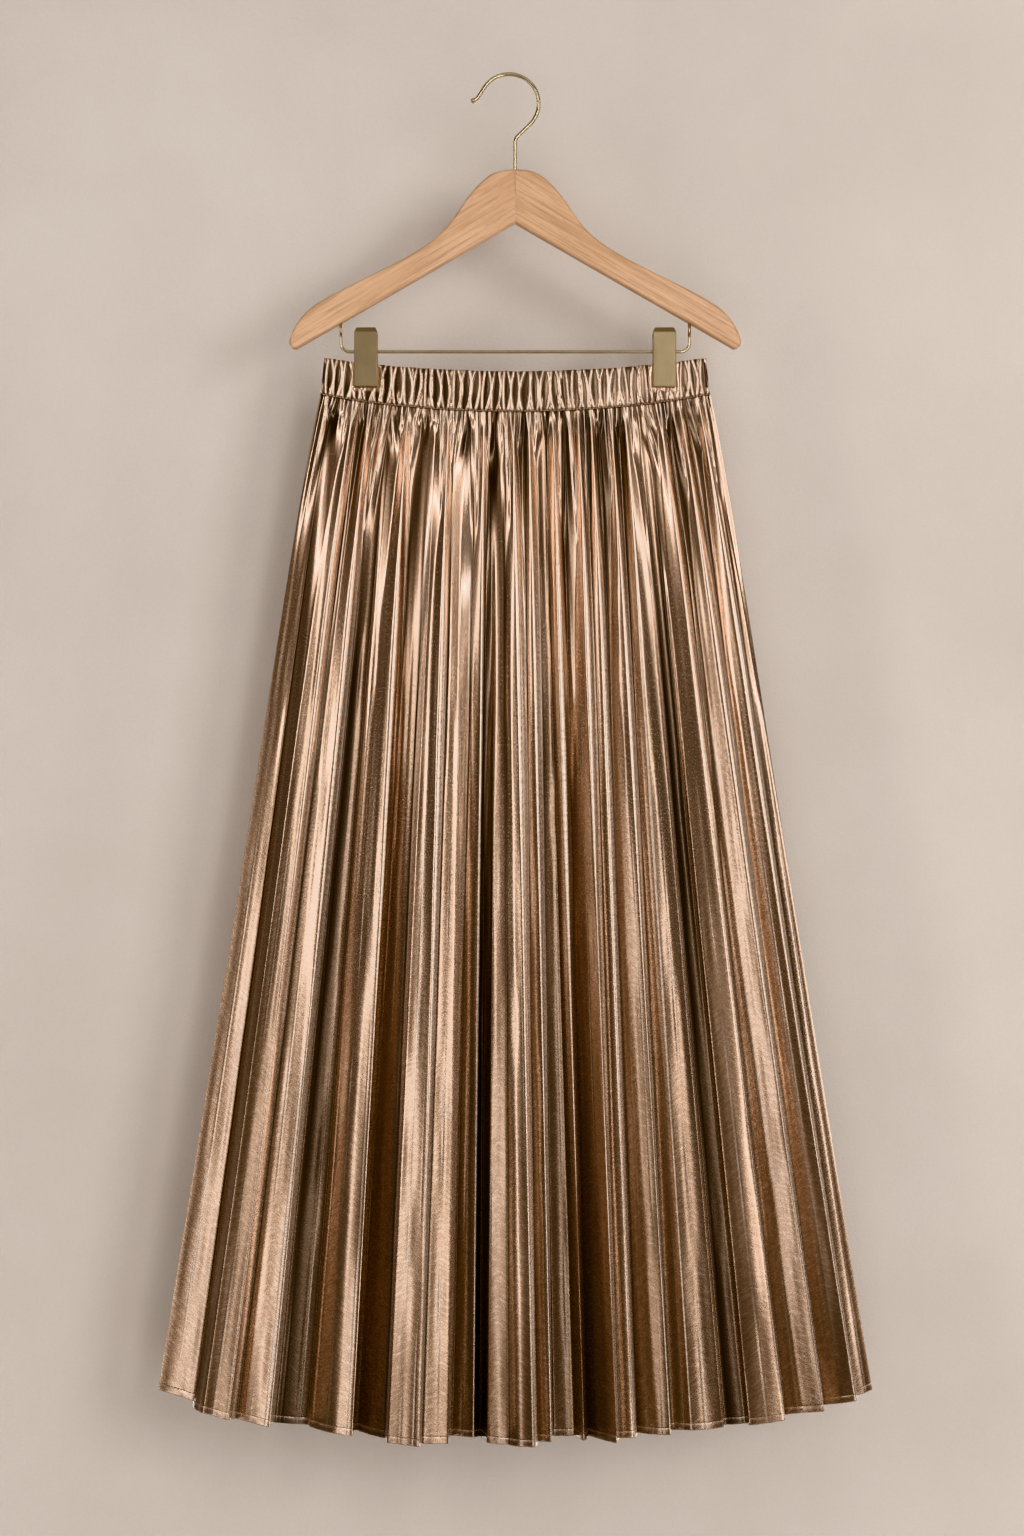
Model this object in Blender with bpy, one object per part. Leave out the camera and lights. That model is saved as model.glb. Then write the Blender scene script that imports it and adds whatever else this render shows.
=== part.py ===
"""A maxi skirt of pleated metallic cloth, clipped by its elastic waistband to a wooden hanger.

The frame is the hanger's: the origin lies on the inner face of the hook, where a rail carries it,
+Z is up, +X runs along the hanger, and the skirt's front faces -Y. Lengths are metres; the tables
are millimetres and say so.

The skirt is a front and a back panel under a front and a back waistband. A panel is a wall of cloth
through eight rows of points. Each row crosses every pleat fold: gathered tight at the waist seam,
spread and folded deep at the hem. All folds have the same length of cloth from seam to hem.
"""

import math
from collections import namedtuple

import bmesh
import bpy
from mathutils import Matrix, Vector

MM = 0.001
GAP = 0.3 * MM  # between pieces that touch in the real object

# --- Skirt -------------------------------------------------------------------------------------
SEAM_HALF_WIDTH = 185.0 * MM  # waist seam, laid flat
HEM_HALF_WIDTH = 339.0 * MM
SKIRT_LENGTH = 966.0 * MM  # cloth from the waist seam to the hem
SIDE_LIFT = 8.0 * MM  # the hem rises by this at the side seams
SIDE_LIFT_FROM = 0.67  # from this share of the hem's half width outwards
CLOTH = 1.2 * MM  # wall of a panel
NEAREST_MIDDLE = 1.4 * MM  # a fold's inner edge comes no closer to the middle plane than this
MITRE_LIMIT = 2.2  # the wall grows no thicker than this many times, at the sharpest folds

# --- Waistband: a casing round an elastic -------------------------------------------------------
BAND_HALF_WIDTH = 181.5 * MM
BAND_TOP_AT_ENDS = -266.5 * MM
BAND_TOP_SAG = 14.0 * MM  # the top edge hangs lower midway between the clips
SEAM_AT_ENDS = -301.5 * MM
SEAM_SAG = 17.0 * MM
BAND_CLOTH = 2.6 * MM  # two layers and the elastic
BAND_GATHERS = 40
BAND_GATHER_DEPTH = 1.0 * MM
BAND_SIDE_OUT = 1.45 * MM  # centre of the wall from the middle plane, at the side seams
BAND_PINCHED_OUT = 1.75 * MM  # the same, between the jaws
BAND_BULGE = 6.0 * MM  # how much further out it stands midway between the clips
PINCH_HALF_WIDTH = 13.0 * MM  # pressed flat by a clip, on each side of its middle
PINCH_FADE = 8.0 * MM  # beyond that, the gathers come back over this

# --- Hanger ------------------------------------------------------------------------------------
WOOD_THICKNESS = 14.0 * MM
WOOD_ROUNDING = 3.0 * MM
HOOK_RADIUS = 28.0 * MM  # of the wire's centreline
HOOK_WIRE = 1.9 * MM  # radius of the wire
HOOK_CENTRE_X = -5.7 * MM  # the hook's ring stands a little to one side of its stem
HOOK_STEM_BEND = 9.0 * MM
HOOK_LEAN = math.radians(46.0)  # between the stem and the straight that leads into the ring
HOOK_RING_END = math.radians(147.0)  # from +X, where the ring runs out into the tip
HOOK_LEAD_OUT = 10.3 * MM  # straight from the ring to the flare of the tip
HOOK_FLARE = 8.0 * MM  # radius on which the tip turns outwards
HOOK_FLARE_TURN = math.radians(30.0)
HOOK_TIP_SWELL = (0.75, 1.2, 1.3, 1.15)  # of the wire's radius, from the tip back: a small ball
WOOD_TOP = -88.8 * MM
STEM_IN_WOOD = 22.0 * MM
BAR_WIRE = 1.6 * MM
BAR_HEIGHT = -261.2 * MM
BAR_HALF_WIDTH = 165.5 * MM
BAR_BEND = 8.0 * MM
LEG_TOP = -220.0 * MM  # the bar's legs end here, inside the wood
ARC_STEP = math.radians(7.0)  # of a bend in a wire

# --- Clips -------------------------------------------------------------------------------------
CLIP_X = 141.5 * MM
CLIP_WIDTH = 22.0 * MM
CLIP_SHEET = 1.2 * MM
CLIP_TOP = -238.9 * MM
CLIP_BOTTOM = -295.0 * MM
JAW_FOOT_OUT = 8.2 * MM  # the jaw's face from the middle plane, at its lower edge
JAW_SHOULDER_OUT = 9.4 * MM  # the same where the face is highest, at its shoulder
JAW_SHOULDER = CLIP_TOP - 4.6 * MM  # above this the face slopes back
JAW_TOP_OUT = 6.8 * MM
JAW_TOP_BACK = 4.4 * MM  # where the top's small flat ends
JAW_EAR_HALF_HEIGHT = 6.0 * MM  # the sides close up round the bar, this far above and below it
JAW_EAR_SLOPE = 2.0 * MM
JAW_OPEN_SIDE = 1.0 * MM  # the hollow is cut from here, behind every edge
JAW_ROUNDING = 0.9 * MM
SPRING_RADIUS = 3.4 * MM
SPRING_SIDES = 16

Fold = namedtuple("Fold", "across out")
# Fold lines of the front panel at the hem, from its left side seam to its right one, in
# millimetres: across the skirt, and out from the middle plane. Two folds at nearly the same place
# across are the two edges of a pleat's return, one right behind the other.
FRONT_FOLDS = (
    Fold(-339, 0.8),
    Fold(-303, 12),
    Fold(-291, 54),
    Fold(-266, 63),
    Fold(-260, 46),
    Fold(-228, 58),
    Fold(-226, 30),
    Fold(-208, 28),
    Fold(-195, 26),
    Fold(-189, 36),
    Fold(-151, 61),
    Fold(-149, 30),
    Fold(-121, 58),
    Fold(-118, 80),
    Fold(-88, 96),
    Fold(-86, 74),
    Fold(-62, 71),
    Fold(-60, 30),
    Fold(-39, 37),
    Fold(-33, 30),
    Fold(-26, 60),
    Fold(-6, 70),
    Fold(17, 83),
    Fold(19, 50),
    Fold(34, 57),
    Fold(36, 30),
    Fold(56, 29),
    Fold(64, 55),
    Fold(67, 30),
    Fold(94, 76),
    Fold(97, 50),
    Fold(111, 53),
    Fold(114, 30),
    Fold(145, 52),
    Fold(147, 29),
    Fold(165, 40),
    Fold(195, 37),
    Fold(197, 27),
    Fold(217, 28),
    Fold(219, 40),
    Fold(252, 44),
    Fold(254, 21),
    Fold(289, 42),
    Fold(291, 15),
    Fold(320, 30),
    Fold(322, 9),
    Fold(339, 0.8),
)
BACK_DEPTH = 0.72  # the back hangs against a wall, so its pleats stand out less

Section = namedtuple("Section", "drop gather")
# Rows of a panel: share of the length below the seam, and half the height of the gathers there,
# in millimetres.
SECTIONS = (
    Section(0.00, 1.0),
    Section(0.025, 2.0),
    Section(0.07, 2.4),
    Section(0.15, 2.0),
    Section(0.28, 1.2),
    Section(0.48, 0.6),
    Section(0.74, 0.2),
    Section(1.00, 0.0),
)

BandRow = namedtuple("BandRow", "drop gather puff")
# Rows of a waistband: share of its height below the top edge, share of the gathers' full depth,
# and how far the casing puffs out there, in millimetres.
BAND_ROWS = (
    BandRow(0.0, 0.35, 0.0),
    BandRow(0.3, 1.0, 0.3),
    BandRow(0.7, 1.0, 0.3),
    BandRow(1.0, 0.45, 0.0),
)

Knot = namedtuple("Knot", "across height slope")
# Upper edge of an arm, from the middle out, in millimetres: a smooth curve through these with the
# given slopes.
ARM_TOP = (
    Knot(0.0, -88.8, 0.0),
    Knot(20.0, -92.2, -0.42),
    Knot(46.0, -116.5, -1.30),
    Knot(62.0, -139.5, -1.25),
    Knot(92.0, -165.2, -0.62),
    Knot(140.0, -190.6, -0.50),
    Knot(186.0, -214.8, -0.60),
)
ARM_TIP = (214.5, -252.0)  # outermost point of the shoulder, in millimetres
ARM_TIP_REACH = 6.0  # how much further in the shoulder starts to turn down to the tip
ARM_HEEL = (213.3, -256.4)  # between the tip and the foot
ARM_FOOT = (207.0, -258.4)  # where the shoulder meets the straight lower edge
ARM_NOTCH = -139.6 * MM  # lower edge at the middle


def lerp(start, end, share):
    return start + (end - start) * share


def clear_scene():
    for obj in list(bpy.data.objects):
        bpy.data.objects.remove(obj, do_unlink=True)


def material(name, colour, roughness, metallic):
    made = bpy.data.materials.new(name)
    made.use_nodes = True
    shader = made.node_tree.nodes["Principled BSDF"]
    shader.inputs["Base Color"].default_value = (*colour, 1.0)
    shader.inputs["Roughness"].default_value = roughness
    shader.inputs["Metallic"].default_value = metallic
    return made


def add_mesh(name, mesh_builder, finish):
    """Makes an object of the bmesh, with its faces turned outwards."""
    bmesh.ops.recalc_face_normals(mesh_builder, faces=mesh_builder.faces)
    mesh = bpy.data.meshes.new(name)
    mesh_builder.to_mesh(mesh)
    mesh_builder.free()
    mesh.materials.append(finish)
    mesh.shade_smooth()
    mesh.set_sharp_from_angle(angle=math.radians(35))
    obj = bpy.data.objects.new(name, mesh)
    bpy.context.scene.collection.objects.link(obj)
    return obj


# --- Cloth -------------------------------------------------------------------------------------


def sagging(at_ends, sag, x):
    """Height of a line that hangs lowest in the middle of the waistband."""
    return at_ends - sag * (1 - (x / SEAM_HALF_WIDTH) ** 2)


def seam_height(x):
    return sagging(SEAM_AT_ENDS, SEAM_SAG, x)


def band_top(x):
    return sagging(BAND_TOP_AT_ENDS, BAND_TOP_SAG, x)


def band_out(x):
    """How far the waistband's wall stands from the middle plane: pinched by the clips, open between."""
    inner = CLIP_X - PINCH_HALF_WIDTH
    outer = CLIP_X + PINCH_HALF_WIDTH
    if abs(x) < inner:
        return BAND_PINCHED_OUT + BAND_BULGE * (1 - (x / inner) ** 2)
    if abs(x) < outer:
        return BAND_PINCHED_OUT
    share = (abs(x) - outer) / (BAND_HALF_WIDTH - outer)
    return lerp(BAND_PINCHED_OUT, BAND_SIDE_OUT, min(share, 1.0))


def pinch(x):
    """0 under a clip, where the gathers are pressed flat, rising to 1 clear of it."""
    clear = (abs(abs(x) - CLIP_X) - PINCH_HALF_WIDTH) / PINCH_FADE
    return min(max(clear, 0.0), 1.0)


def offset_row(row, distance):
    """The row moved sideways in plan by the distance, mitred at each corner."""
    moved = []
    for i, point in enumerate(row):
        before = row[max(i - 1, 0)]
        after = row[min(i + 1, len(row) - 1)]
        edges = [b - a for a, b in ((before, point), (point, after)) if (b - a).xy.length > 0]
        normals = [Vector((e.y, -e.x)).normalized() for e in edges]
        middle = sum(normals, Vector((0.0, 0.0))).normalized()
        mitre = 1 / max(middle.dot(normals[0]), 1 / MITRE_LIMIT)
        moved.append(point + Vector((*(middle * distance * mitre), 0.0)))
    return moved


def wall(name, rows, thickness, finish):
    """A closed wall of cloth around a grid of points: rows from top to bottom, columns across.

    Both sides are cut into triangles along the same diagonals, so they stay parallel where it twists.
    """
    shape = bmesh.new()
    sides = []
    for distance in (thickness / 2, -thickness / 2):
        sides.append([[shape.verts.new(p) for p in offset_row(row, distance)] for row in rows])
    last_row, last_column = len(rows) - 1, len(rows[0]) - 1
    one, other = sides
    quads = []
    for side in sides:
        for i in range(last_row):
            for j in range(last_column):
                quads.append((side[i][j], side[i][j + 1], side[i + 1][j + 1], side[i + 1][j]))
    for i in (0, last_row):
        for j in range(last_column):
            quads.append((one[i][j], one[i][j + 1], other[i][j + 1], other[i][j]))
    for j in (0, last_column):
        for i in range(last_row):
            quads.append((one[i][j], one[i + 1][j], other[i + 1][j], other[i][j]))
    for a, b, c, d in quads:
        shape.faces.new((a, b, c))
        shape.faces.new((a, c, d))
    return add_mesh(name, shape, finish)


def waist_places(folds):
    """Where each fold meets the waist seam: the elastic gathers equal lengths of cloth equally."""
    run = [0.0]
    for a, b in zip(folds, folds[1:]):
        run.append(run[-1] + math.hypot(b.across - a.across, b.out - a.out))
    return [SEAM_HALF_WIDTH * (2 * along / run[-1] - 1) for along in run]


def side_lift(x):
    """The hem's rise towards the side seams."""
    share = (abs(x) / HEM_HALF_WIDTH - SIDE_LIFT_FROM) / (1 - SIDE_LIFT_FROM)
    return SIDE_LIFT * min(max(share, 0.0), 1.0)


def fold_point(fold, waist_x, drop):
    """The fold line's point at a share of its length, as (across, out from the middle plane, height)."""
    hem_x, hem_out = fold.across * MM, fold.out * MM
    waist_out = band_out(waist_x)
    fall = math.sqrt(SKIRT_LENGTH**2 - (hem_x - waist_x) ** 2 - (hem_out - waist_out) ** 2)
    fall -= side_lift(hem_x)
    return Vector(
        (
            lerp(waist_x, hem_x, drop),
            lerp(waist_out, hem_out, drop),
            seam_height(waist_x) - GAP / 2 - fall * drop,
        )
    )


def panel_rows(folds):
    """Rows of points over a panel, out from the middle plane: a fold, a mid-pleat, a fold and so on."""
    places = waist_places(folds)
    rows = []
    for section in SECTIONS:
        on_folds = [fold_point(f, x, section.drop) for f, x in zip(folds, places)]
        gather = Vector((0.0, section.gather * MM, 0.0))
        row = [on_folds[0]]
        for before, after in zip(on_folds, on_folds[1:]):
            row.append((before + after) / 2 - gather * pinch(before.x))
            row.append(after + gather * pinch(after.x))
        for point in row[1:-1]:
            point.y = max(point.y, NEAREST_MIDDLE)
        row[-1] = on_folds[-1]
        rows.append(row)
    return rows


def band_rows():
    """Rows of points over a waistband: ridge and valley of each gather, flat at the side seams."""
    columns = 2 * BAND_GATHERS
    rows = []
    for level in BAND_ROWS:
        row = []
        for i in range(columns + 1):
            x = lerp(-BAND_HALF_WIDTH, BAND_HALF_WIDTH, i / columns)
            x *= lerp(1.0, SEAM_HALF_WIDTH / BAND_HALF_WIDTH, level.drop)
            at_side = i in (0, columns)
            ridge = 0.0 if at_side else (1 if i % 2 else -1) * pinch(x)
            out = band_out(x) + ridge * level.gather * BAND_GATHER_DEPTH
            out += 0.0 if at_side else level.puff * MM * pinch(x)
            out = out if at_side else max(out, BAND_PINCHED_OUT)
            row.append(Vector((x, out, lerp(band_top(x), seam_height(x) + GAP / 2, level.drop))))
        rows.append(row)
    return rows


def front_facing(rows, depth=1.0):
    return [[Vector((p.x, -p.y * depth, p.z)) for p in row] for row in rows]


def turned_about(rows):
    """The same cloth seen from behind: turned half round about Z."""
    return [[Vector((-p.x, -p.y, p.z)) for p in row] for row in rows]


def back_folds():
    """The back panel is cut as the front is, with shallower pleats; only its side seams stay put."""
    inner = [Fold(f.across, 8 + (f.out - 8) * BACK_DEPTH) for f in FRONT_FOLDS[1:-1]]
    return (FRONT_FOLDS[0], *inner, FRONT_FOLDS[-1])


def make_skirt(finish):
    wall("skirt_front", front_facing(panel_rows(FRONT_FOLDS)), CLOTH, finish)
    wall("skirt_back", turned_about(front_facing(panel_rows(back_folds()))), CLOTH, finish)
    wall("waistband_front", front_facing(band_rows()), BAND_CLOTH, finish)
    wall("waistband_back", turned_about(front_facing(band_rows())), BAND_CLOTH, finish)


# --- Hanger ------------------------------------------------------------------------------------


def tube(name, points, radius, finish, swell=()):
    """A round wire through the points. swell scales its radius at some of them, from the last back."""
    curve = bpy.data.curves.new(name, "CURVE")
    curve.dimensions = "3D"
    curve.bevel_depth = radius
    curve.bevel_resolution = 3
    curve.use_fill_caps = True
    line = curve.splines.new("POLY")
    line.points.add(len(points) - 1)
    for place, point in zip(line.points, points):
        place.co = (*point, 1.0)
    for i, scale in enumerate(swell):
        line.points[-1 - i].radius = scale
    curve.materials.append(finish)
    obj = bpy.data.objects.new(name, curve)
    bpy.context.scene.collection.objects.link(obj)
    return obj


def arc(centre_x, centre_z, radius, start, end):
    """Points round an arc in the hanger's plane, angles in radians from +X towards +Z."""
    steps = math.ceil(abs(end - start) / ARC_STEP)
    return [
        Vector((centre_x + radius * math.cos(a), 0.0, centre_z + radius * math.sin(a)))
        for a in (lerp(start, end, i / steps) for i in range(steps + 1))
    ]


def hook_route():
    """Centreline of the hook, from the foot of its stem to its tip."""
    inner = HOOK_RADIUS - HOOK_WIRE
    centre_z = -math.sqrt(inner**2 - HOOK_CENTRE_X**2)
    joint_x = HOOK_CENTRE_X + HOOK_RADIUS * math.cos(-HOOK_LEAN)
    joint_z = centre_z + HOOK_RADIUS * math.sin(-HOOK_LEAN)
    corner_z = joint_z - joint_x / math.tan(HOOK_LEAN)  # where the leaning straight meets the stem
    reach = HOOK_STEM_BEND * math.tan(HOOK_LEAN / 2)
    stem = [Vector((0.0, 0.0, WOOD_TOP - STEM_IN_WOOD))]
    bend = arc(HOOK_STEM_BEND, corner_z - reach, HOOK_STEM_BEND, math.pi, math.pi - HOOK_LEAN)
    ring = arc(HOOK_CENTRE_X, centre_z, HOOK_RADIUS, -HOOK_LEAN, HOOK_RING_END)
    heading = Vector((-math.sin(HOOK_RING_END), 0.0, math.cos(HOOK_RING_END)))
    outward = Vector((math.cos(HOOK_RING_END), 0.0, math.sin(HOOK_RING_END)))
    turn = ring[-1] + heading * HOOK_LEAD_OUT + outward * HOOK_FLARE
    towards = HOOK_RING_END + math.pi
    flare = arc(turn.x, turn.z, HOOK_FLARE, towards, towards - HOOK_FLARE_TURN)
    return stem + bend + ring + flare


def bar_route():
    """Centreline of the bar and its two legs, up into the wood at each end."""
    low = BAR_HEIGHT + BAR_BEND
    turn = BAR_HALF_WIDTH - BAR_BEND
    left = arc(-turn, low, BAR_BEND, math.pi, 1.5 * math.pi)
    right = arc(turn, low, BAR_BEND, 1.5 * math.pi, 2 * math.pi)
    top_left = Vector((-BAR_HALF_WIDTH, 0.0, LEG_TOP))
    top_right = Vector((BAR_HALF_WIDTH, 0.0, LEG_TOP))
    return [top_left, *left, *right, top_right]


def hermite(a, b, share):
    """Point between two knots of an outline, as (across, height) in millimetres."""
    width = b.across - a.across
    s2, s3 = share**2, share**3
    height = (2 * s3 - 3 * s2 + 1) * a.height + (s3 - 2 * s2 + share) * width * a.slope
    height += (3 * s2 - 2 * s3) * b.height + (s3 - s2) * width * b.slope
    return (a.across + width * share, height)


def bezier(start, control, end, share):
    """Point of a curve that leaves the start towards the control point and so meets the end."""
    weights = ((1 - share) ** 2, 2 * share * (1 - share), share**2)
    return tuple(sum(w * p[k] for w, p in zip(weights, (start, control, end))) for k in (0, 1))


def arm_outline(steps=4):
    """Outline of an arm, from the top of the mitre along the shoulder and back below, in metres.

    steps is how many straights stand for each curve between two knots.
    """
    top = [
        hermite(a, b, i / steps) for a, b in zip(ARM_TOP, ARM_TOP[1:]) for i in range(steps)
    ]
    last = ARM_TOP[-1]
    turn_x = ARM_TIP[0] - ARM_TIP_REACH
    turn = (turn_x, last.height + last.slope * (turn_x - last.across))
    top += [bezier((last.across, last.height), turn, ARM_TIP, i / steps) for i in range(steps)]
    top += [ARM_TIP, ARM_HEEL, ARM_FOOT]
    outline = [Vector((x * MM, 0.0, z * MM)) for x, z in top]
    outline[0].x = GAP / 2
    outline.append(Vector((GAP / 2, 0.0, ARM_NOTCH)))
    return outline


def cutter(name, radius, bottom, top, x):
    """A vertical drill for a wire's hole, which the build leaves out."""
    shape = bmesh.new()
    bmesh.ops.create_cone(
        shape,
        cap_ends=True,
        segments=12,
        radius1=radius,
        radius2=radius,
        depth=top - bottom,
        matrix=Matrix.Translation((x, 0.0, (top + bottom) / 2)),
    )
    drill = bpy.data.objects.new(name, bpy.data.meshes.new(name))
    bmesh.ops.recalc_face_normals(shape, faces=shape.faces)
    shape.to_mesh(drill.data)
    shape.free()
    drill.hide_render = True
    drill.display_type = "WIRE"
    bpy.context.scene.collection.objects.link(drill)
    return drill


def make_arm(name, side, finish):
    """One half of the hanger, mitred at the middle. side is -1 for the left and 1 for the right."""
    outline = [Vector((p.x * side, -WOOD_THICKNESS / 2, p.z)) for p in arm_outline()]
    shape = bmesh.new()
    face = shape.faces.new([shape.verts.new(p) for p in outline])
    made = bmesh.ops.extrude_face_region(shape, geom=[face])
    new = [v for v in made["geom"] if isinstance(v, bmesh.types.BMVert)]
    bmesh.ops.translate(shape, verts=new, vec=(0.0, WOOD_THICKNESS, 0.0))
    at_mitre = GAP
    rounded = [
        e
        for e in shape.edges
        if e.verts[0].co.y == e.verts[1].co.y and max(abs(v.co.x) for v in e.verts) > at_mitre
    ]
    bmesh.ops.bevel(
        shape, geom=rounded, offset=WOOD_ROUNDING, segments=3, profile=0.5, affect="EDGES"
    )
    bmesh.ops.triangulate(shape, faces=shape.faces)
    arm = add_mesh(name, shape, finish)
    stem_hole = cutter(
        name + "_stem_drill", HOOK_WIRE + GAP, WOOD_TOP - STEM_IN_WOOD - GAP, WOOD_TOP + 5 * MM, 0.0
    )
    leg_hole = cutter(
        name + "_leg_drill", BAR_WIRE + GAP, BAR_HEIGHT, LEG_TOP + GAP, side * BAR_HALF_WIDTH
    )
    for drill in (stem_hole, leg_hole):
        cut = arm.modifiers.new(drill.name, "BOOLEAN")
        cut.operation = "DIFFERENCE"
        cut.object = drill


def prism(profile, half_width):
    """A bmesh of a profile in the YZ plane, as (out, height), extruded across X."""
    shape = bmesh.new()
    face = shape.faces.new([shape.verts.new((-half_width, y, z)) for y, z in profile])
    made = bmesh.ops.extrude_face_region(shape, geom=[face])
    new = [v for v in made["geom"] if isinstance(v, bmesh.types.BMVert)]
    bmesh.ops.translate(shape, verts=new, vec=(2 * half_width, 0.0, 0.0))
    return shape


def make_jaw(name, x, facing, finish):
    """One jaw of a clip: a tray of bent sheet, open towards the cloth. facing is -1 at the front."""
    lip = BAND_PINCHED_OUT + BAND_CLOTH / 2 + GAP
    ear = BAR_WIRE + GAP
    above, below = BAR_HEIGHT + JAW_EAR_HALF_HEIGHT, BAR_HEIGHT - JAW_EAR_HALF_HEIGHT
    outside = [
        (lip, CLIP_BOTTOM),
        (JAW_FOOT_OUT, CLIP_BOTTOM),
        (JAW_SHOULDER_OUT, JAW_SHOULDER),
        (JAW_TOP_OUT, CLIP_TOP),
        (JAW_TOP_BACK, CLIP_TOP),
        (ear, above),
        (ear, below),
        (lip, below - JAW_EAR_SLOPE),
    ]
    inside = [
        (JAW_OPEN_SIDE, CLIP_BOTTOM + CLIP_SHEET),
        (JAW_FOOT_OUT - CLIP_SHEET, CLIP_BOTTOM + CLIP_SHEET),
        (JAW_SHOULDER_OUT - CLIP_SHEET, JAW_SHOULDER),
        (JAW_TOP_OUT - CLIP_SHEET, CLIP_TOP - CLIP_SHEET),
        (JAW_OPEN_SIDE, CLIP_TOP - CLIP_SHEET),
    ]
    shape = prism([(facing * y, z) for y, z in outside], CLIP_WIDTH / 2)
    face_edges = [
        e for e in shape.edges if all(abs(v.co.y) > JAW_TOP_OUT - GAP for v in e.verts)
    ]
    bmesh.ops.bevel(
        shape, geom=face_edges, offset=JAW_ROUNDING, segments=2, profile=0.5, affect="EDGES"
    )
    jaw = add_mesh(name, shape, finish)
    hollow = prism([(facing * y, z) for y, z in inside], CLIP_WIDTH / 2 - CLIP_SHEET)
    bmesh.ops.recalc_face_normals(hollow, faces=hollow.faces)
    core = bpy.data.objects.new(name + "_hollow", bpy.data.meshes.new(name + "_hollow"))
    hollow.to_mesh(core.data)
    hollow.free()
    core.hide_render = True
    core.display_type = "WIRE"
    bpy.context.scene.collection.objects.link(core)
    for obj in (jaw, core):
        obj.location.x = x
    cut = jaw.modifiers.new("hollow", "BOOLEAN")
    cut.operation = "DIFFERENCE"
    cut.object = core


def make_spring(name, x, finish):
    """The clip's coiled spring, as the barrel that the bar runs through."""
    half = CLIP_WIDTH / 2 - CLIP_SHEET - GAP
    shape = bmesh.new()
    rings = []
    for at, radius in (
        (-half, BAR_WIRE + GAP),
        (-half, SPRING_RADIUS),
        (half, SPRING_RADIUS),
        (half, BAR_WIRE + GAP),
    ):
        turn = [2 * math.pi * i / SPRING_SIDES for i in range(SPRING_SIDES)]
        rings.append(
            [
                shape.verts.new((x + at, radius * math.cos(a), BAR_HEIGHT + radius * math.sin(a)))
                for a in turn
            ]
        )
    for one, other in zip(rings, rings[1:] + rings[:1]):
        for i in range(SPRING_SIDES):
            shape.faces.new((one[i], one[i - 1], other[i - 1], other[i]))
    add_mesh(name, shape, finish)


def make_hanger(wood, metal):
    make_arm("hanger_arm_left", -1, wood)
    make_arm("hanger_arm_right", 1, wood)
    tube("hook", hook_route(), HOOK_WIRE, metal, HOOK_TIP_SWELL)
    tube("bar", bar_route(), BAR_WIRE, metal)
    for side, x in (("left", -CLIP_X), ("right", CLIP_X)):
        make_jaw(f"clip_{side}_front_jaw", x, -1, metal)
        make_jaw(f"clip_{side}_back_jaw", x, 1, metal)
        make_spring(f"clip_{side}_spring", x, metal)


def main():
    clear_scene()
    cloth = material("rose_gold_cloth", (0.56, 0.37, 0.25), 0.32, 0.95)
    wood = material("beech", (0.70, 0.43, 0.23), 0.5, 0.0)
    brass = material("brushed_brass", (0.52, 0.43, 0.25), 0.28, 1.0)
    make_skirt(cloth)
    make_hanger(wood, brass)


main()
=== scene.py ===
"""The looks of a pleated rose-gold maxi skirt that hangs by its waistband from a wooden clip hanger.

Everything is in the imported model's frame: metres, +Z up, the origin inside the hook, the skirt's front
towards -Y. The cloth is built again, fine, on the same fold tables as the solids: thin shells whose
gathers run together downwards into sharp pressed pleats. Tables are in millimetres and say so.
"""

import math
from collections import namedtuple

import bmesh
import bpy
import numpy as np
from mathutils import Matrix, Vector

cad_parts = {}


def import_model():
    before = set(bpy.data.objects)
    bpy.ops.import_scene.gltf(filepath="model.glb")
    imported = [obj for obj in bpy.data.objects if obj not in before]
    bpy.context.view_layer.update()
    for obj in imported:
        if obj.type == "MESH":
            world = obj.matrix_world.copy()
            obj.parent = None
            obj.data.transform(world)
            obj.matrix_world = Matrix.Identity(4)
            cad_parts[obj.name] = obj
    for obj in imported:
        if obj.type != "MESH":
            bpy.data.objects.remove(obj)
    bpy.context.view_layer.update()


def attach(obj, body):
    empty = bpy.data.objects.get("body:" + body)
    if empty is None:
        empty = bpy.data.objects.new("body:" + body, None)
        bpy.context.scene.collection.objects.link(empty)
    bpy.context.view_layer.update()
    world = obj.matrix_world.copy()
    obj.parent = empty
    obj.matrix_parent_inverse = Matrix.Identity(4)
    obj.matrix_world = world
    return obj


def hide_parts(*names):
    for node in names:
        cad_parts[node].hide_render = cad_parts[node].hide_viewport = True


MM = 0.001
GAP = 0.3 * MM

# --- Skirt, as in the solids ---
SEAM_HALF_WIDTH = 185.0 * MM
HEM_HALF_WIDTH = 339.0 * MM
SKIRT_LENGTH = 966.0 * MM
SIDE_LIFT = 8.0 * MM
BAND_HALF_WIDTH = 181.5 * MM
BAND_TOP_AT_ENDS = -266.5 * MM
BAND_TOP_SAG = 14.0 * MM
SEAM_AT_ENDS = -301.5 * MM
SEAM_SAG = 17.0 * MM
BAND_SIDE_OUT = 1.45 * MM
BAND_PINCHED_OUT = 1.75 * MM
BAND_BULGE = 6.0 * MM
PINCH_HALF_WIDTH = 13.0 * MM
BACK_DEPTH = 0.72
# Seeds of the random draws in each piece.
FRONT_BAND_SEED, BACK_BAND_SEED = 41, 43
FRONT_SEED, BACK_SEED = 11, 12


def table(columns, *rows):
    """Rows of numbers under named columns."""
    return tuple(columns(*row) for row in rows)


Fold = namedtuple("Fold", "across out shade")
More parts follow.
